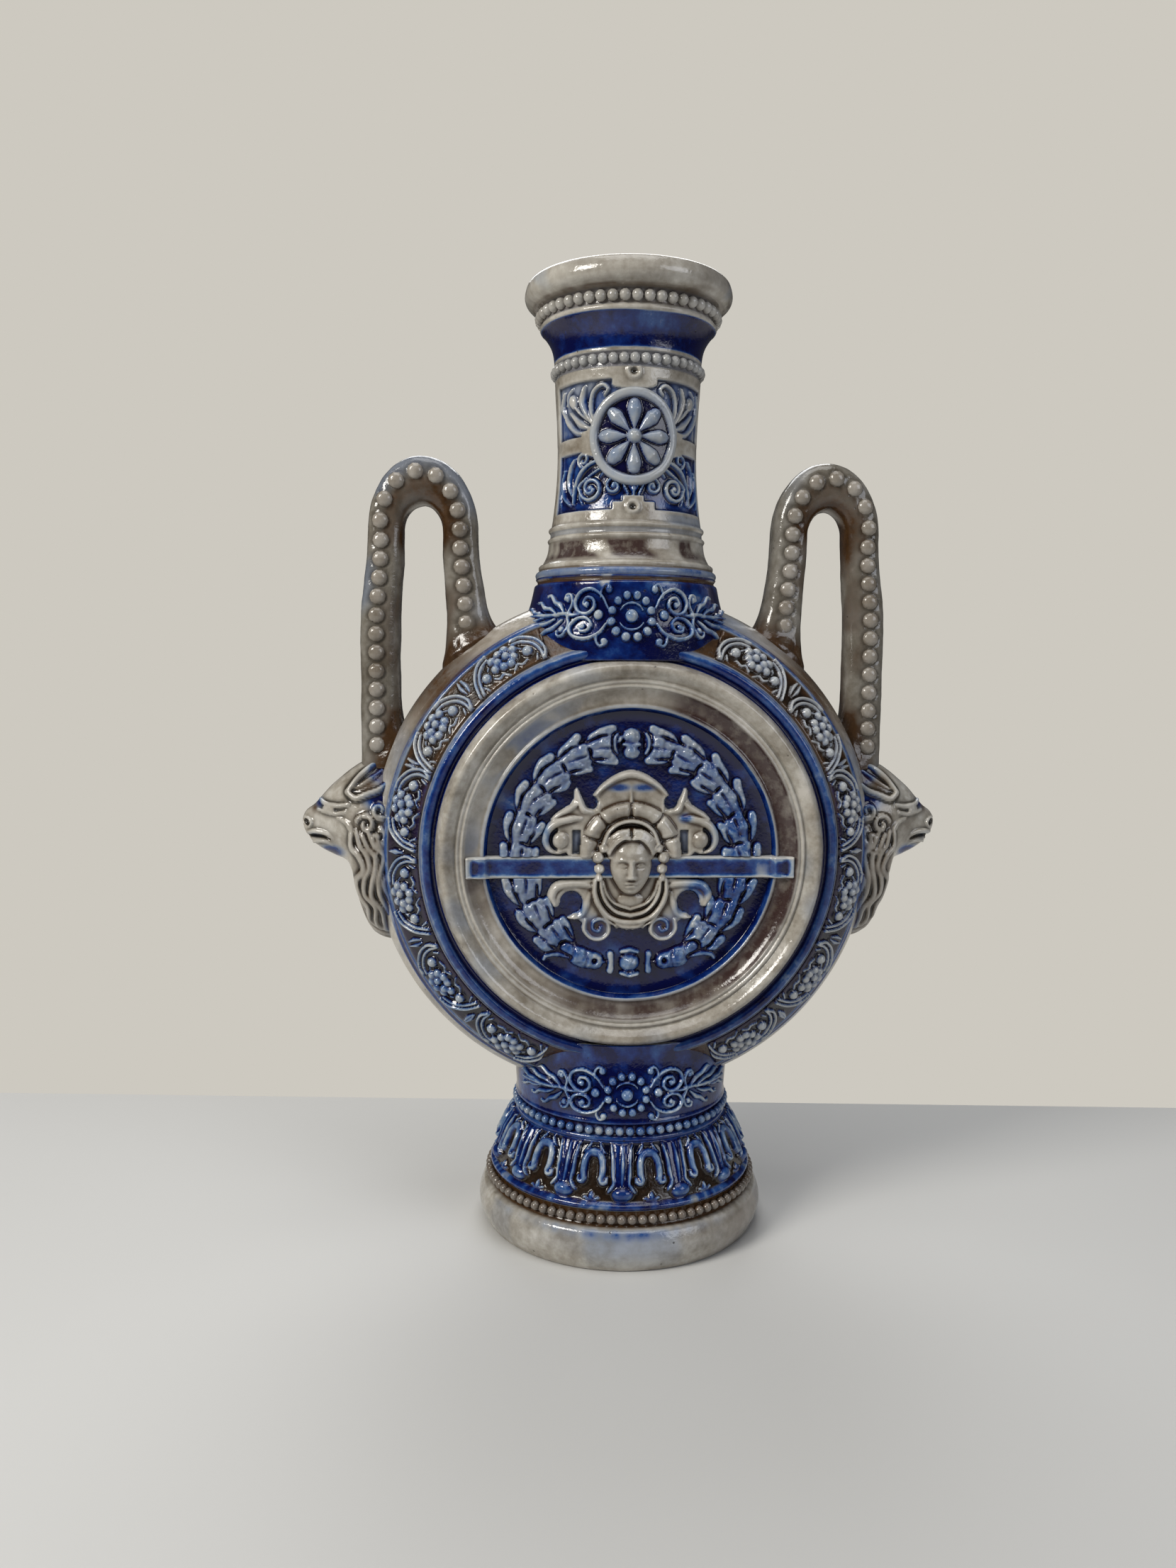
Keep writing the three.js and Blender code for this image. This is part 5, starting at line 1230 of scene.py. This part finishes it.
def maskSheet(k):
    sheet = newSheet(-24.5, 24.5, -24, 22.5, k["cell"])
    x, y = sheet["x"], sheet["y"]
    plate(sheet, cartoucheOutline(), k["plate"], 0.9)
    base = sheet["h"].copy()
    scrolls = [
        # arch, hook and upper volute
        ((9.1, 15, 7.2, 17, 4.4, 18.9, 1.8, 20, 0, 20.3), [1, 1.8, 2.3, 2.5], 2.4),
        ((8, 10.9, 8.2, 13.2, 8.8, 15.2), 1.2, 1.8),
        ((9.8, 10.7, 11.9, 11.4, 12.9, 13.6, 13.7, 16.5), [1.6, 2.4, 1.9, 0.8], [1.8, 2.3, 2.2, 1.6]),
        ((13.6, 12.9, 15.6, 11.4, 18.3, 10, 20, 8.9), [1.6, 2.2, 1.6, 0.6], [2, 2.1, 1.8]),
        ((12.6, 9.2, 15.4, 9, 18.6, 8.1, 20.8, 6.2, 21.4, 3.4, 20.2, 1.2, 17.8, 0.6),
         [1.6, 2.6, 2.7, 2.5, 2.3, 1.8, 1.2], [1.9, 2.5, 2.6, 2.5, 2.3, 2.1, 1.9]),
        # lower scroll, spur and small volute
        ((9.4, -8.2, 12, -7.6, 15.4, -7.6, 18.4, -8.2, 19.8, -10.4, 19, -12.8),
         [2, 2.4, 2.6, 2.8, 2.6, 1.6], [1.9, 2.2, 2.3, 2.5, 2.4, 2]),
        ((10.2, -9.8, 11, -12.6, 12, -15.2, 13.8, -16.2, 15.6, -16.2), [2.2, 2.4, 1.8, 1.1, 0.6],
         [1.8, 2.1, 2, 1.8, 1.5]),
        ((11.4, -16.6, 11.6, -19.2, 9.9, -21.3, 7.4, -21.6, 5.5, -20, 5.6, -17.7, 7.4, -16.4, 9.3, -17.2,
          9.4, -19, 8, -19.5, 7.5, -18.6), [1.2, 1.3, 1.3, 1.3, 1.2, 1.2, 1.2, 1.1, 1, 0.9, 0.9], 2.3)]
    for side in (-1, 1):
        draw(sheet, scrolls, side)
        dome(sheet, side * 17.7, 3.7, 2.5, 2.7, 1.05, 60)
    stroke(sheet, [(0, 18.2), (0, 16.0), (0, 13.4)], [0.3, 0.8, 1.7], [1.6, 2.3, 2.5], "sharp")
    # notches and the slots between volutes and fan
    for side in (-1, 1):
        hole = np.hypot(x - side * 10.0, y - 13.3)
        sheet["h"] = np.where(hole < 1.75, np.minimum(sheet["h"], 0.45), sheet["h"])
        slot = (np.abs(x - side * 13.6) < 1.05) & (y > 0.0) & (y < 6.2)
        sheet["h"] = np.where(slot, 0.5, sheet["h"])
        arc = bell(np.hypot(x - side * 17.3, y - 3.6), 2.9, 0.45) * (side * x > 18.4)
        sheet["h"] -= 1.3 * arc * (sheet["h"] > 1.3)
    # fan of six lobes round the head
    r, a = np.hypot(x, y - 0.4), np.degrees(np.arctan2(y - 0.4, np.abs(x)))
    seams = np.array([-8.0, 21.0, 50.0, 90.0])
    away = np.min(np.abs(a[..., None] - seams), axis=-1) * math.pi / 180 * r
    lobes = (r > 6.8) & (r < 12.9) & (a > -8) & (a <= 90)
    rise = 1.5 + 1.7 * step(7.6, 11.2, r) * np.sqrt(np.clip((12.9 - r) / 1.6, 0, 1))
    rise *= 0.55 + 0.45 * np.sqrt(np.clip(away / 0.9, 0, 1))
    sheet["h"] = np.where(lobes, np.maximum(rise, base), sheet["h"])
    # coronet and hair, with five locks and four curls to each side of the face
    stroke(sheet, moved((-6.9, 2.9, -5.6, 5.9, -3.2, 7.9, 0, 8.6, 3.2, 7.9, 5.6, 5.9, 6.9, 2.9)), 1.5, 3.7)
    lay(sheet, 4.4 * np.sqrt(np.clip(1 - (x / 6.9) ** 2 - ((y - 0.8) / 6.9) ** 2, 0, 1)) * (y > -1))
    drawFace(sheet, k)
    locks = []
    for i in range(5):
        s, lower = 0.85 * i, 0.25 * i
        locks.append(((0.3 + 0.1 * i, 4.3 + 0.55 * i, 2.2 + 0.3 * s, 4.3 + 0.5 * s,
                       4.3 + 0.35 * s, 2.6 + 0.5 * s, 5.6 + 0.35 * s, 0.2 + 0.35 * s), [0.7, 1.1, 1.2, 0.8],
                      [5.3 - lower, 5.4 - lower, 4.8 - lower, 3.9 - 0.2 * i]))
    # veil: long folds from the temples to under the chin
    folds = [((8.9, -6.4, 9, -9.6, 7.9, -12.8, 5.6, -15.6, 2.6, -17, 0, -17.3), 2.2, 2.9),
             ((7.6, -6.2, 7.2, -9.4, 5.8, -12.4, 3.4, -14.6, 0, -15.5), 1.5, 3.1),
             ((7, -6.6, 6, -9.9, 4, -12.4, 0, -13.9), 1.1, 2.7)]
    veil = [(points, [wide * 0.6, wide, wide * 0.8, wide * 1.15], [rise, rise, rise * 0.9])
            for points, wide, rise in folds]
    veil += [((8.9, -9, 8.2, -12.6, 6, -16.4, 3.6, -18.3), [0.9, 1.6, 1.2, 0.5], 2.5),
             ((4.4, -16.6, 2.2, -18.2, 0, -18.5), [0.8, 1.7, 1.6], 2.3)]
    t = np.linspace(0.4, 5.2, 14)
    curls = [(8.3, -0.6, 1.9, 3.6), (7.9, -3.6, 1.6, 3.3), (8, -5.9, 1.25, 3), (7, 1.6, 1.5, 3.6)]
    for side in (-1, 1):
        draw(sheet, locks, side)
        for cx, cy, size, rise in curls:
            dome(sheet, side * cx, cy, size, rise)
            r = size * (0.95 - 0.13 * t)
            curl = np.stack([cx + r * np.cos(t), cy + r * np.sin(t)], -1)
            stroke(sheet, moved(curl, side), 0.55, 0.45, over=True)
        draw(sheet, veil, side)
    lay(sheet, 2.4 * np.sqrt(np.clip(1 - (x / 4.4) ** 2 - ((y + 11.6) / 2.6) ** 2, 0, 1)))
    sheet["h"] = np.where(sheet["h"] > 0, soften(sheet["h"], 1) * 0.6 + sheet["h"] * 0.4, 0)
    return sheet


mask = maskSheet(maskLook)
maskCrest = crestMap(mask, 3, 0.55)
maskCobalt = 0.5 * np.clip(1 - mask["h"] / 1.2, 0, 1)
for cx, cy, rx, ry, strength, rightOnly in maskLook["cobalt"]:
    pool = np.exp(-(((np.abs(mask["x"]) - cx) / rx) ** 2 + ((mask["y"] - cy) / ry) ** 2))
    maskCobalt += strength * pool * ((mask["x"] > 0) | (not rightOnly))
maskBrown = np.where(mask["h"] > 1.2, 0.16 + 0.7 * step(0.02, 0.3, 0.5 - maskCrest), 0.0)
press("Mask", mask, onField, mapOf(np.clip(maskCobalt, 0, 1), maskBrown, maskCrest), "grey_salt_glaze")
print("masks ready")

# Vine: six units in a strip, each with two double stems, two single grapes and a bunch of ten
vineLook = {
    "cell": 0.29, "units": (-56.6, -32.8, -11.5, 11.2, 35.0, 58.2), "radius": 57.3, "outer": 61.35,
    "outerDepth": 14.75, "wide": 10.7, "end": 67.5, "ground": 0.5, "slope": (0.781, 0.625),
    "blue": {"Left": 0.42, "Right": 0.3},
    "bunch": [(-3.4, 3.2), (-3, 5.8), (-1.6, 1.9), (-0.9, 4.3), (-1.3, 7.2), (0.9, 2.2), (1.6, 4.9), (0.9, 7),
              (3, 3.4), (3.2, 6.1)],
}


def vineSheet(k):
    sheet = newSheet(-68, 68, -0.2, k["wide"] + 0.2, k["cell"])
    pick = np.random.default_rng(91)
    stems = []
    for d, scale in ((0.0, 1.0), (1.25, 0.86)):
        stems += [((-9.7 + d * 0.4, 10.2, -10.5 + d, 7.4, -9.2 + d * 0.8, 3.9 + d * 0.7,
                    -6.2 + d * 0.3, 1.4 + d, -3.4, 0.9 + d), [0.8, 0.95, 0.95, 0.8, 0.6], 1.25 * scale),
                  ((3.4, 0.7 + d, 6.4 - d * 0.3, 1.9 + d, 9.0 - d * 0.8, 5.2 + d * 0.6, 10.5 - d, 9.8),
                   [0.6, 0.8, 0.95, 0.95, 0.8], 1.25 * scale)]
    stems += [((-5.2, 8.4, -3.6, 9, -2.4, 8.3, -1, 9.4), [0.5, 0.6, 0.4], 0.8),
              ((4.6, 8, 3.4, 9, 2, 8.6, 0.6, 9.9), [0.5, 0.6, 0.4], 0.8),
              ((-5, 4.6, -4.2, 3.8), 0.5, 0.8), ((4.9, 4.9, 4.2, 4.2), 0.5, 0.8),
              ((-8.2, 8.2, -7.6, 9.6), 0.6, 0.8), ((8, 8.4, 7.4, 9.8), 0.6, 0.8)]
    stems += [((x, 1.2, x * 0.98, 3.6, x * 1.01, 6), [0.4, 1.3, 0.4], 1.0, "leaf") for x in (-11.4, 11.4)]
    for middle in k["units"]:
        j = pick.uniform(-0.25, 0.25, 30)
        draw(sheet, stems, 1, middle)
        for i, (x, y) in enumerate(k["bunch"]):
            dome(sheet, middle + 0.86 * x + j[2 * i], 4.6 + 0.9 * (y - 4.6) + j[2 * i + 1], 1.26,
                 1.5 + 0.45 * (i in (3, 6)))
        dome(sheet, middle - 6.1 + j[20], 6.3 + j[21], 1.42, 1.75)
        dome(sheet, middle + 5.9 + j[22], 6.6 + j[23], 1.36, 1.7)
    # the strip itself: a thin ground under all of it, rounded along its edges and ends
    y = sheet["y"]
    edge = np.minimum(np.minimum(y - 0.25, k["wide"] - 0.25 - y), k["end"] - np.abs(sheet["x"]))
    sheet["h"] = (sheet["h"] + k["ground"] * np.sqrt(np.clip(edge / 0.4, 0, 1))) * (edge > 0)
    return sheet


def onSlope(side, x, y, h):
    # x runs round the body from the side's middle, y from the outer edge of the slope inwards
    k = vineLook
    steep, flat = k["slope"]
    a = x / k["radius"]
    r = k["outer"] - steep * y + flat * h
    return np.stack([side * r * np.cos(a), -(k["outerDepth"] + flat * y + steep * h),
                     pot["middle"] - r * np.sin(a)], -1)


vine = vineSheet(vineLook)
# the ground between the ornaments is brown in the upper part and dark blue further down
vineHigh = 1 - step(-26, -8, vine["x"] + 4 * np.sin(vine["y"] + vine["x"] * 0.4))
vineLow = 1 - step(vineLook["ground"] + 0.15, vineLook["ground"] + 0.6, vine["h"])
vineBrown, vinePurple = vineLow * (0.15 + 0.85 * vineHigh), 0.25 * vineLow * (1 - vineHigh)
# painted shade: crest lowered on the ground between the ornaments, so the glaze darkens it
vineCrest = crestMap(vine, 3, 0.5) - 0.2 * vineLow
for face in faces:
    for hand, side in (("Left", -1), ("Right", 1)):
        vineCobalt = vineLook["blue"][hand] * (1 - vineLow) + vineLow * (0.98 - 0.75 * vineHigh)
        vineGlaze = mapOf(vineCobalt, vineBrown, vineCrest, vinePurple)
        press("Vine" + hand, vine, partial(onSlope, side), vineGlaze, on=[face])
print("vines ready")

# Rosette on the neck: a flat ring round eight drop-shaped petals and a boss
rosetteLook = {"cell": 0.22, "wide": 11.3, "tall": 12.0, "ring": 2.7, "radius": 17.7, "bend": 18.3,
               "petals": 8, "ground": 0.75}


def rosetteSheet(k):
    sheet = newSheet(-11.6, 11.6, -12.4, 12.4, k["cell"])
    r = np.hypot(sheet["x"] / k["wide"] * k["tall"], sheet["y"])
    q = np.abs(r - k["tall"] + k["ring"] / 2) / (k["ring"] / 2)
    lay(sheet, np.where(r < k["tall"], k["ground"], 0))
    lay(sheet, 2.1 * np.sqrt(np.clip(1 - q ** 3, 0, 1)) * (q < 1))
    for i in range(k["petals"]):
        a = 2 * math.pi * i / k["petals"] + math.pi / 2
        c, s = math.cos(a) * k["wide"] / k["tall"], math.sin(a)
        stroke(sheet, [(c * d, s * d) for d in (1.7, 3.2, 4.8, 6.5, 7.8)], [1, 1.9, 3.1, 4, 3.4],
               [1.3, 1.7, 2.2, 2.5, 2.1])
    dome(sheet, 0, 0, 2.05, 2.8)
    return sheet, r


def onNeck(x, y, h):
    a, r = x / rosetteLook["bend"], rosetteLook["radius"] + h
    return np.stack([r * np.sin(a), -r * np.cos(a), pot["rosette"] + y], -1)


rosette, rosetteRound = rosetteSheet(rosetteLook)
rosetteCobalt = np.where(rosetteRound > 9.3, 0.28, np.where(rosette["h"] > 1.1, 0.34, 1.0))
press("Rosette", rosette, onNeck, mapOf(rosetteCobalt, 0.05, crestMap(rosette, 5, 0.8)))
print("rosettes ready")

# Scroll sprigs on collar and shoulder: a wheel of beads, two spirals to each side and a spray of leaves
scrollLook = {
    "cell": 0.253, "bend": 27.6, "shift": 0.7, "cobalt": 0.78,
    "collar": {"level": 41.9, "across": 0.9, "up": 0.84, "lean": -0.1, "share": collarShare},
    "shoulder": {"level": 161.6, "across": 1.0, "up": 1.0, "lean": 0.35, "share": shoulderShare},
}


def scrollSheet(cell, across, up):
    sheet = newSheet(-36 * across, 36 * across, -8.6 * up, 8.6 * up, cell)
    size = (across + up) / 2

    def scaled(sheet, points, width, height, section="round"):
        stroke(sheet, points * [across, up], np.array(width) * size, height, section)

    wheel = [(0, 0, 1.75, 1.9)]
    wheel += [(*spot, 1.2, 1.45) for spot in arcPoints(0, 0, 5.2, 15, 345, 12)]
    beads = [(8.5, 0.3, 1.35, 1.45), (12, 2.9, 0.85, 1.2), (12.1, -2.6, 0.85, 1.2), (6.3, 6.5, 1.05, 1.3),
             (6.5, -6.3, 1, 1.3), (16.8, 0.4, 1.1, 1.3), (17.8, 4.2, 0.95, 1.3), (17.6, -3.4, 0.95, 1.3)]
    lines = [
        ((6.2, 2, 8.2, 5, 11.4, 6.6, 14.4, 5.6, 15.4, 3.2, 14, 1, 11.6, 0.5, 9.9, 2, 10.4, 4,
          12.2, 4.4, 12.9, 3, 11.9, 2.3), [0.7, 1.1, 1.2, 1.1, 1, 0.9], 1.3),
        ((6.2, -2, 8, -4.4, 11.2, -5.6, 14.4, -4.9, 15.5, -2.8, 14.2, -0.9, 11.8, -0.5, 10.1, -1.8,
          10.6, -3.5, 12.3, -3.8, 13, -2.7), [0.7, 1.1, 1.2, 1, 0.9, 0.8], 1.3),
        ((8.4, 4.4, 8.2, 6.4, 7.2, 7.6, 5.9, 7.2), [0.5, 0.9, 0.8, 0.7], 1.1),
        ((8.2, -4.2, 8.4, -6, 7.6, -7.3, 6.2, -7), [0.5, 0.9, 0.8, 0.7], 1.1),
        ((13.6, 0.3, 15.6, 0.2, 17.4, 0.5, 20, 0.6), [0.8, 1.2, 1.3, 0.9], 1.2),
        ((16.8, 1, 16.2, 3, 17, 5, 18.4, 5.2, 18.8, 4), [0.8, 1.2, 1, 0.8, 0.7], 1.2),
        ((16.8, -0.4, 16, -2.4, 16.8, -4.6, 18.4, -5, 18.8, -3.8), [0.8, 1.2, 1, 0.8, 0.7], 1.2),
        ((20, 0.3, 24, 0.2, 28, 0.2, 32, 0.1, 34.8, 0), [1, 1.3, 1.1, 0.8, 0.3], 1.1)]
    for points, width in (((18.4, 0.9, 20.6, 2.8, 22.6, 3.6, 24.6, 5.2, 26.2, 4.8), [0.7, 1.7, 1.6, 1, 0.3]),
                          ((21, 0.7, 23.6, 1.8, 26.4, 2.2, 28.6, 3.6, 30.2, 3.2), [0.7, 1.6, 1.5, 0.9, 0.3]),
                          ((25.4, 0.4, 28.4, 0.9, 31, 1, 33.6, 2.2, 35, 1.8), [0.6, 1.4, 1.3, 0.8, 0.3])):
        lines += [(moved(points) * [1, sign], width, 1.15, "leaf") for sign in (-1, 1)]
    draw(sheet, [(arcPoints(0, 0, 3.3, start, start + 124, 7), [0.4, 0.8, 0.4], 0.8) for start in (28, 208)],
         tool=scaled)
    for side in (-1, 1):
        draw(sheet, lines, side, tool=scaled)
    for side, rows in ((1, wheel), (-1, beads), (1, beads)):
        for x, y, radius, height in rows:
            dome(sheet, side * x * across, y * up, radius * size, height)
    return sheet


def onSaddle(rows, k, x, y, h):
    # a sheet bent round the oval of collar or shoulder, leaning with its slope
    z = k["level"] + y
    r, a = np.interp(z, rows[:, 1], rows[:, 0]), (x - scrollLook["shift"]) / scrollLook["bend"]
    return np.stack([(r + h) * np.sin(a), -(r * k["share"](z) + h) * np.cos(a), z + k["lean"] * h], -1)


for name in ("collar", "shoulder"):
    k = scrollLook[name]
    sprig = scrollSheet(scrollLook["cell"], k["across"], k["up"])
    press(name.capitalize() + "Scroll", sprig, partial(onSaddle, np.vstack(saddleLook[name]), k),
          mapOf(scrollLook["cobalt"], 0.0, crestMap(sprig, 3, 0.34)))
print("scrolls ready")

# Floor: a pale table, and behind it a warm plaster colour that runs on into the background
stageLook = {"table": "#C7C7C5", "roughness": 0.55, "plaster": "#CDC9C0", "sky": "#E9EAEC", "skyGlow": 0.05,
             "edge": 80.0, "size": 6000.0, "turn": 4.5, "fade": (420.0, 1100.0)}


def stageMaterial(look):
    material = bpy.data.materials.new("paintedTableAndPlaster")
    material.use_nodes = True
    material.node_tree.nodes.clear()
    add = partial(addNode, material.node_tree)
    turn = math.radians(look["turn"])
    place = add("TexCoord").outputs["Object"]
    x, y = add("SeparateXYZ", {}, {0: place}).outputs[:2]
    across = add("Math", {"operation": "MULTIPLY"}, {0: x, 1: math.sin(turn)})
    along = add("Math", {"operation": "MULTIPLY_ADD"}, {0: y, 1: math.cos(turn), 2: across})
    beyond = add("Math", {"operation": "GREATER_THAN"}, {0: along, 1: look["edge"] * mm})
    table = add("BsdfPrincipled", {}, {"Base Color": linear(look["table"]), "Roughness": look["roughness"]})
    plain = add("BsdfDiffuse", {}, {"Color": linear(look["plaster"])})
    glow = add("Emission", {}, {"Color": linear(look["plaster"]), "Strength": 1.0})
    wall = add("MixShader", {}, {0: add("LightPath"), 1: plain, 2: glow})
    # far from the bottle, past the reach of the lamps, the table runs into the background colour
    reach = add("VectorMath", {"operation": "LENGTH"}, {0: place}).outputs["Value"]
    near, far = (value * mm for value in look["fade"])
    fade = add("MapRange", {}, {"Value": reach, "From Min": near, "From Max": far})
    shown = add("Math", {"operation": "MAXIMUM"}, {0: beyond, 1: fade})
    add("OutputMaterial", {}, {"Surface": add("MixShader", {}, {0: shown, 1: table, 2: wall})})
    return material


half = stageLook["size"] * mm / 2
floorMesh = bpy.data.meshes.new("floor")
corners = [(x * half, y * half, 0) for x, y in ((-1, -1), (1, -1), (1, 1), (-1, 1))]
floorMesh.from_pydata(corners, [], [(0, 1, 2, 3)])
floorMesh.materials.append(stageMaterial(stageLook))
floor = bpy.data.objects.new("floor", floorMesh)
bpy.context.scene.collection.objects.link(floor)

# Background: the lamps' soft surroundings, and the plaster colour where the camera sees it
world = bpy.data.worlds.new("studio")
bpy.context.scene.world = world
world.use_nodes = True
world.node_tree.nodes.clear()
add = partial(addNode, world.node_tree)
soft = add("Background", {}, {"Color": linear(stageLook["sky"]), "Strength": stageLook["skyGlow"]})
shown = add("Background", {}, {"Color": linear(stageLook["plaster"]), "Strength": 1.0})
add("OutputWorld", {}, {"Surface": add("MixShader", {}, {0: add("LightPath"), 1: soft, 2: shown})})


def addLamp(name, azimuth, elevation, distance, side, watts, code):
    # a square lamp that looks at the middle of the bottle; azimuth 0 is the front, counted to the right
    lamp = bpy.data.lights.new(name, "AREA")
    lamp.size, lamp.energy, lamp.color = side, watts, linear(code)[:3]
    a, e = math.radians(azimuth), math.radians(elevation)
    target = Vector((0, 0, 0.12))
    spot = target + distance * Vector((math.sin(a) * math.cos(e), -math.cos(a) * math.cos(e), math.sin(e)))
    body = bpy.data.objects.new(name, lamp)
    aim = (target - spot).to_track_quat("-Z", "Y")
    body.matrix_world = Matrix.Translation(spot) @ aim.to_matrix().to_4x4()
    bpy.context.scene.collection.objects.link(body)


addLamp("keyLamp", -54, 32, 0.95, 0.32, 7.0, "#FFFBF4")
addLamp("fillLamp", 46, 22, 1.2, 0.6, 3.6, "#F4F7FF")
addLamp("topLamp", 0, 78, 1.1, 0.8, 4.8, "#FFFFFF")
addLamp("backLamp", 180, 46, 1.3, 0.8, 6.5, "#FFFFFF")

# Camera: where the photograph was taken from, in mm and degrees
cameraLook = {"place": (-30.26, -314.4, 148.7), "turn": 4.5, "pitch": 5.56, "roll": 0.47, "pan": -0.72,
              "lens": 27.05}


def aimCamera(k):
    turn, pitch, tilt, pan = (math.radians(k[key]) for key in ("turn", "pitch", "roll", "pan"))
    level = Vector((math.sin(pan), math.cos(pan), 0))
    right = Vector((math.cos(pan), -math.sin(pan), 0))
    ahead = level * math.cos(pitch) - Vector((0, 0, math.sin(pitch)))
    up = level * math.sin(pitch) + Vector((0, 0, math.cos(pitch)))
    right, up = right * math.cos(tilt) + up * math.sin(tilt), up * math.cos(tilt) - right * math.sin(tilt)
    basis = Matrix((right, up, -ahead)).transposed()
    return Matrix.Translation(Vector(k["place"]) * mm) @ (Matrix.Rotation(-turn, 3, "Z") @ basis).to_4x4()


camera = bpy.data.objects.new("camera", bpy.data.cameras.new("camera"))
camera.data.lens = cameraLook["lens"]
camera.data.clip_start = 0.01
camera.matrix_world = aimCamera(cameraLook)
bpy.context.scene.collection.objects.link(camera)
bpy.context.scene.camera = camera
bpy.context.scene.view_settings.view_transform = "Standard"

print("scene ready")
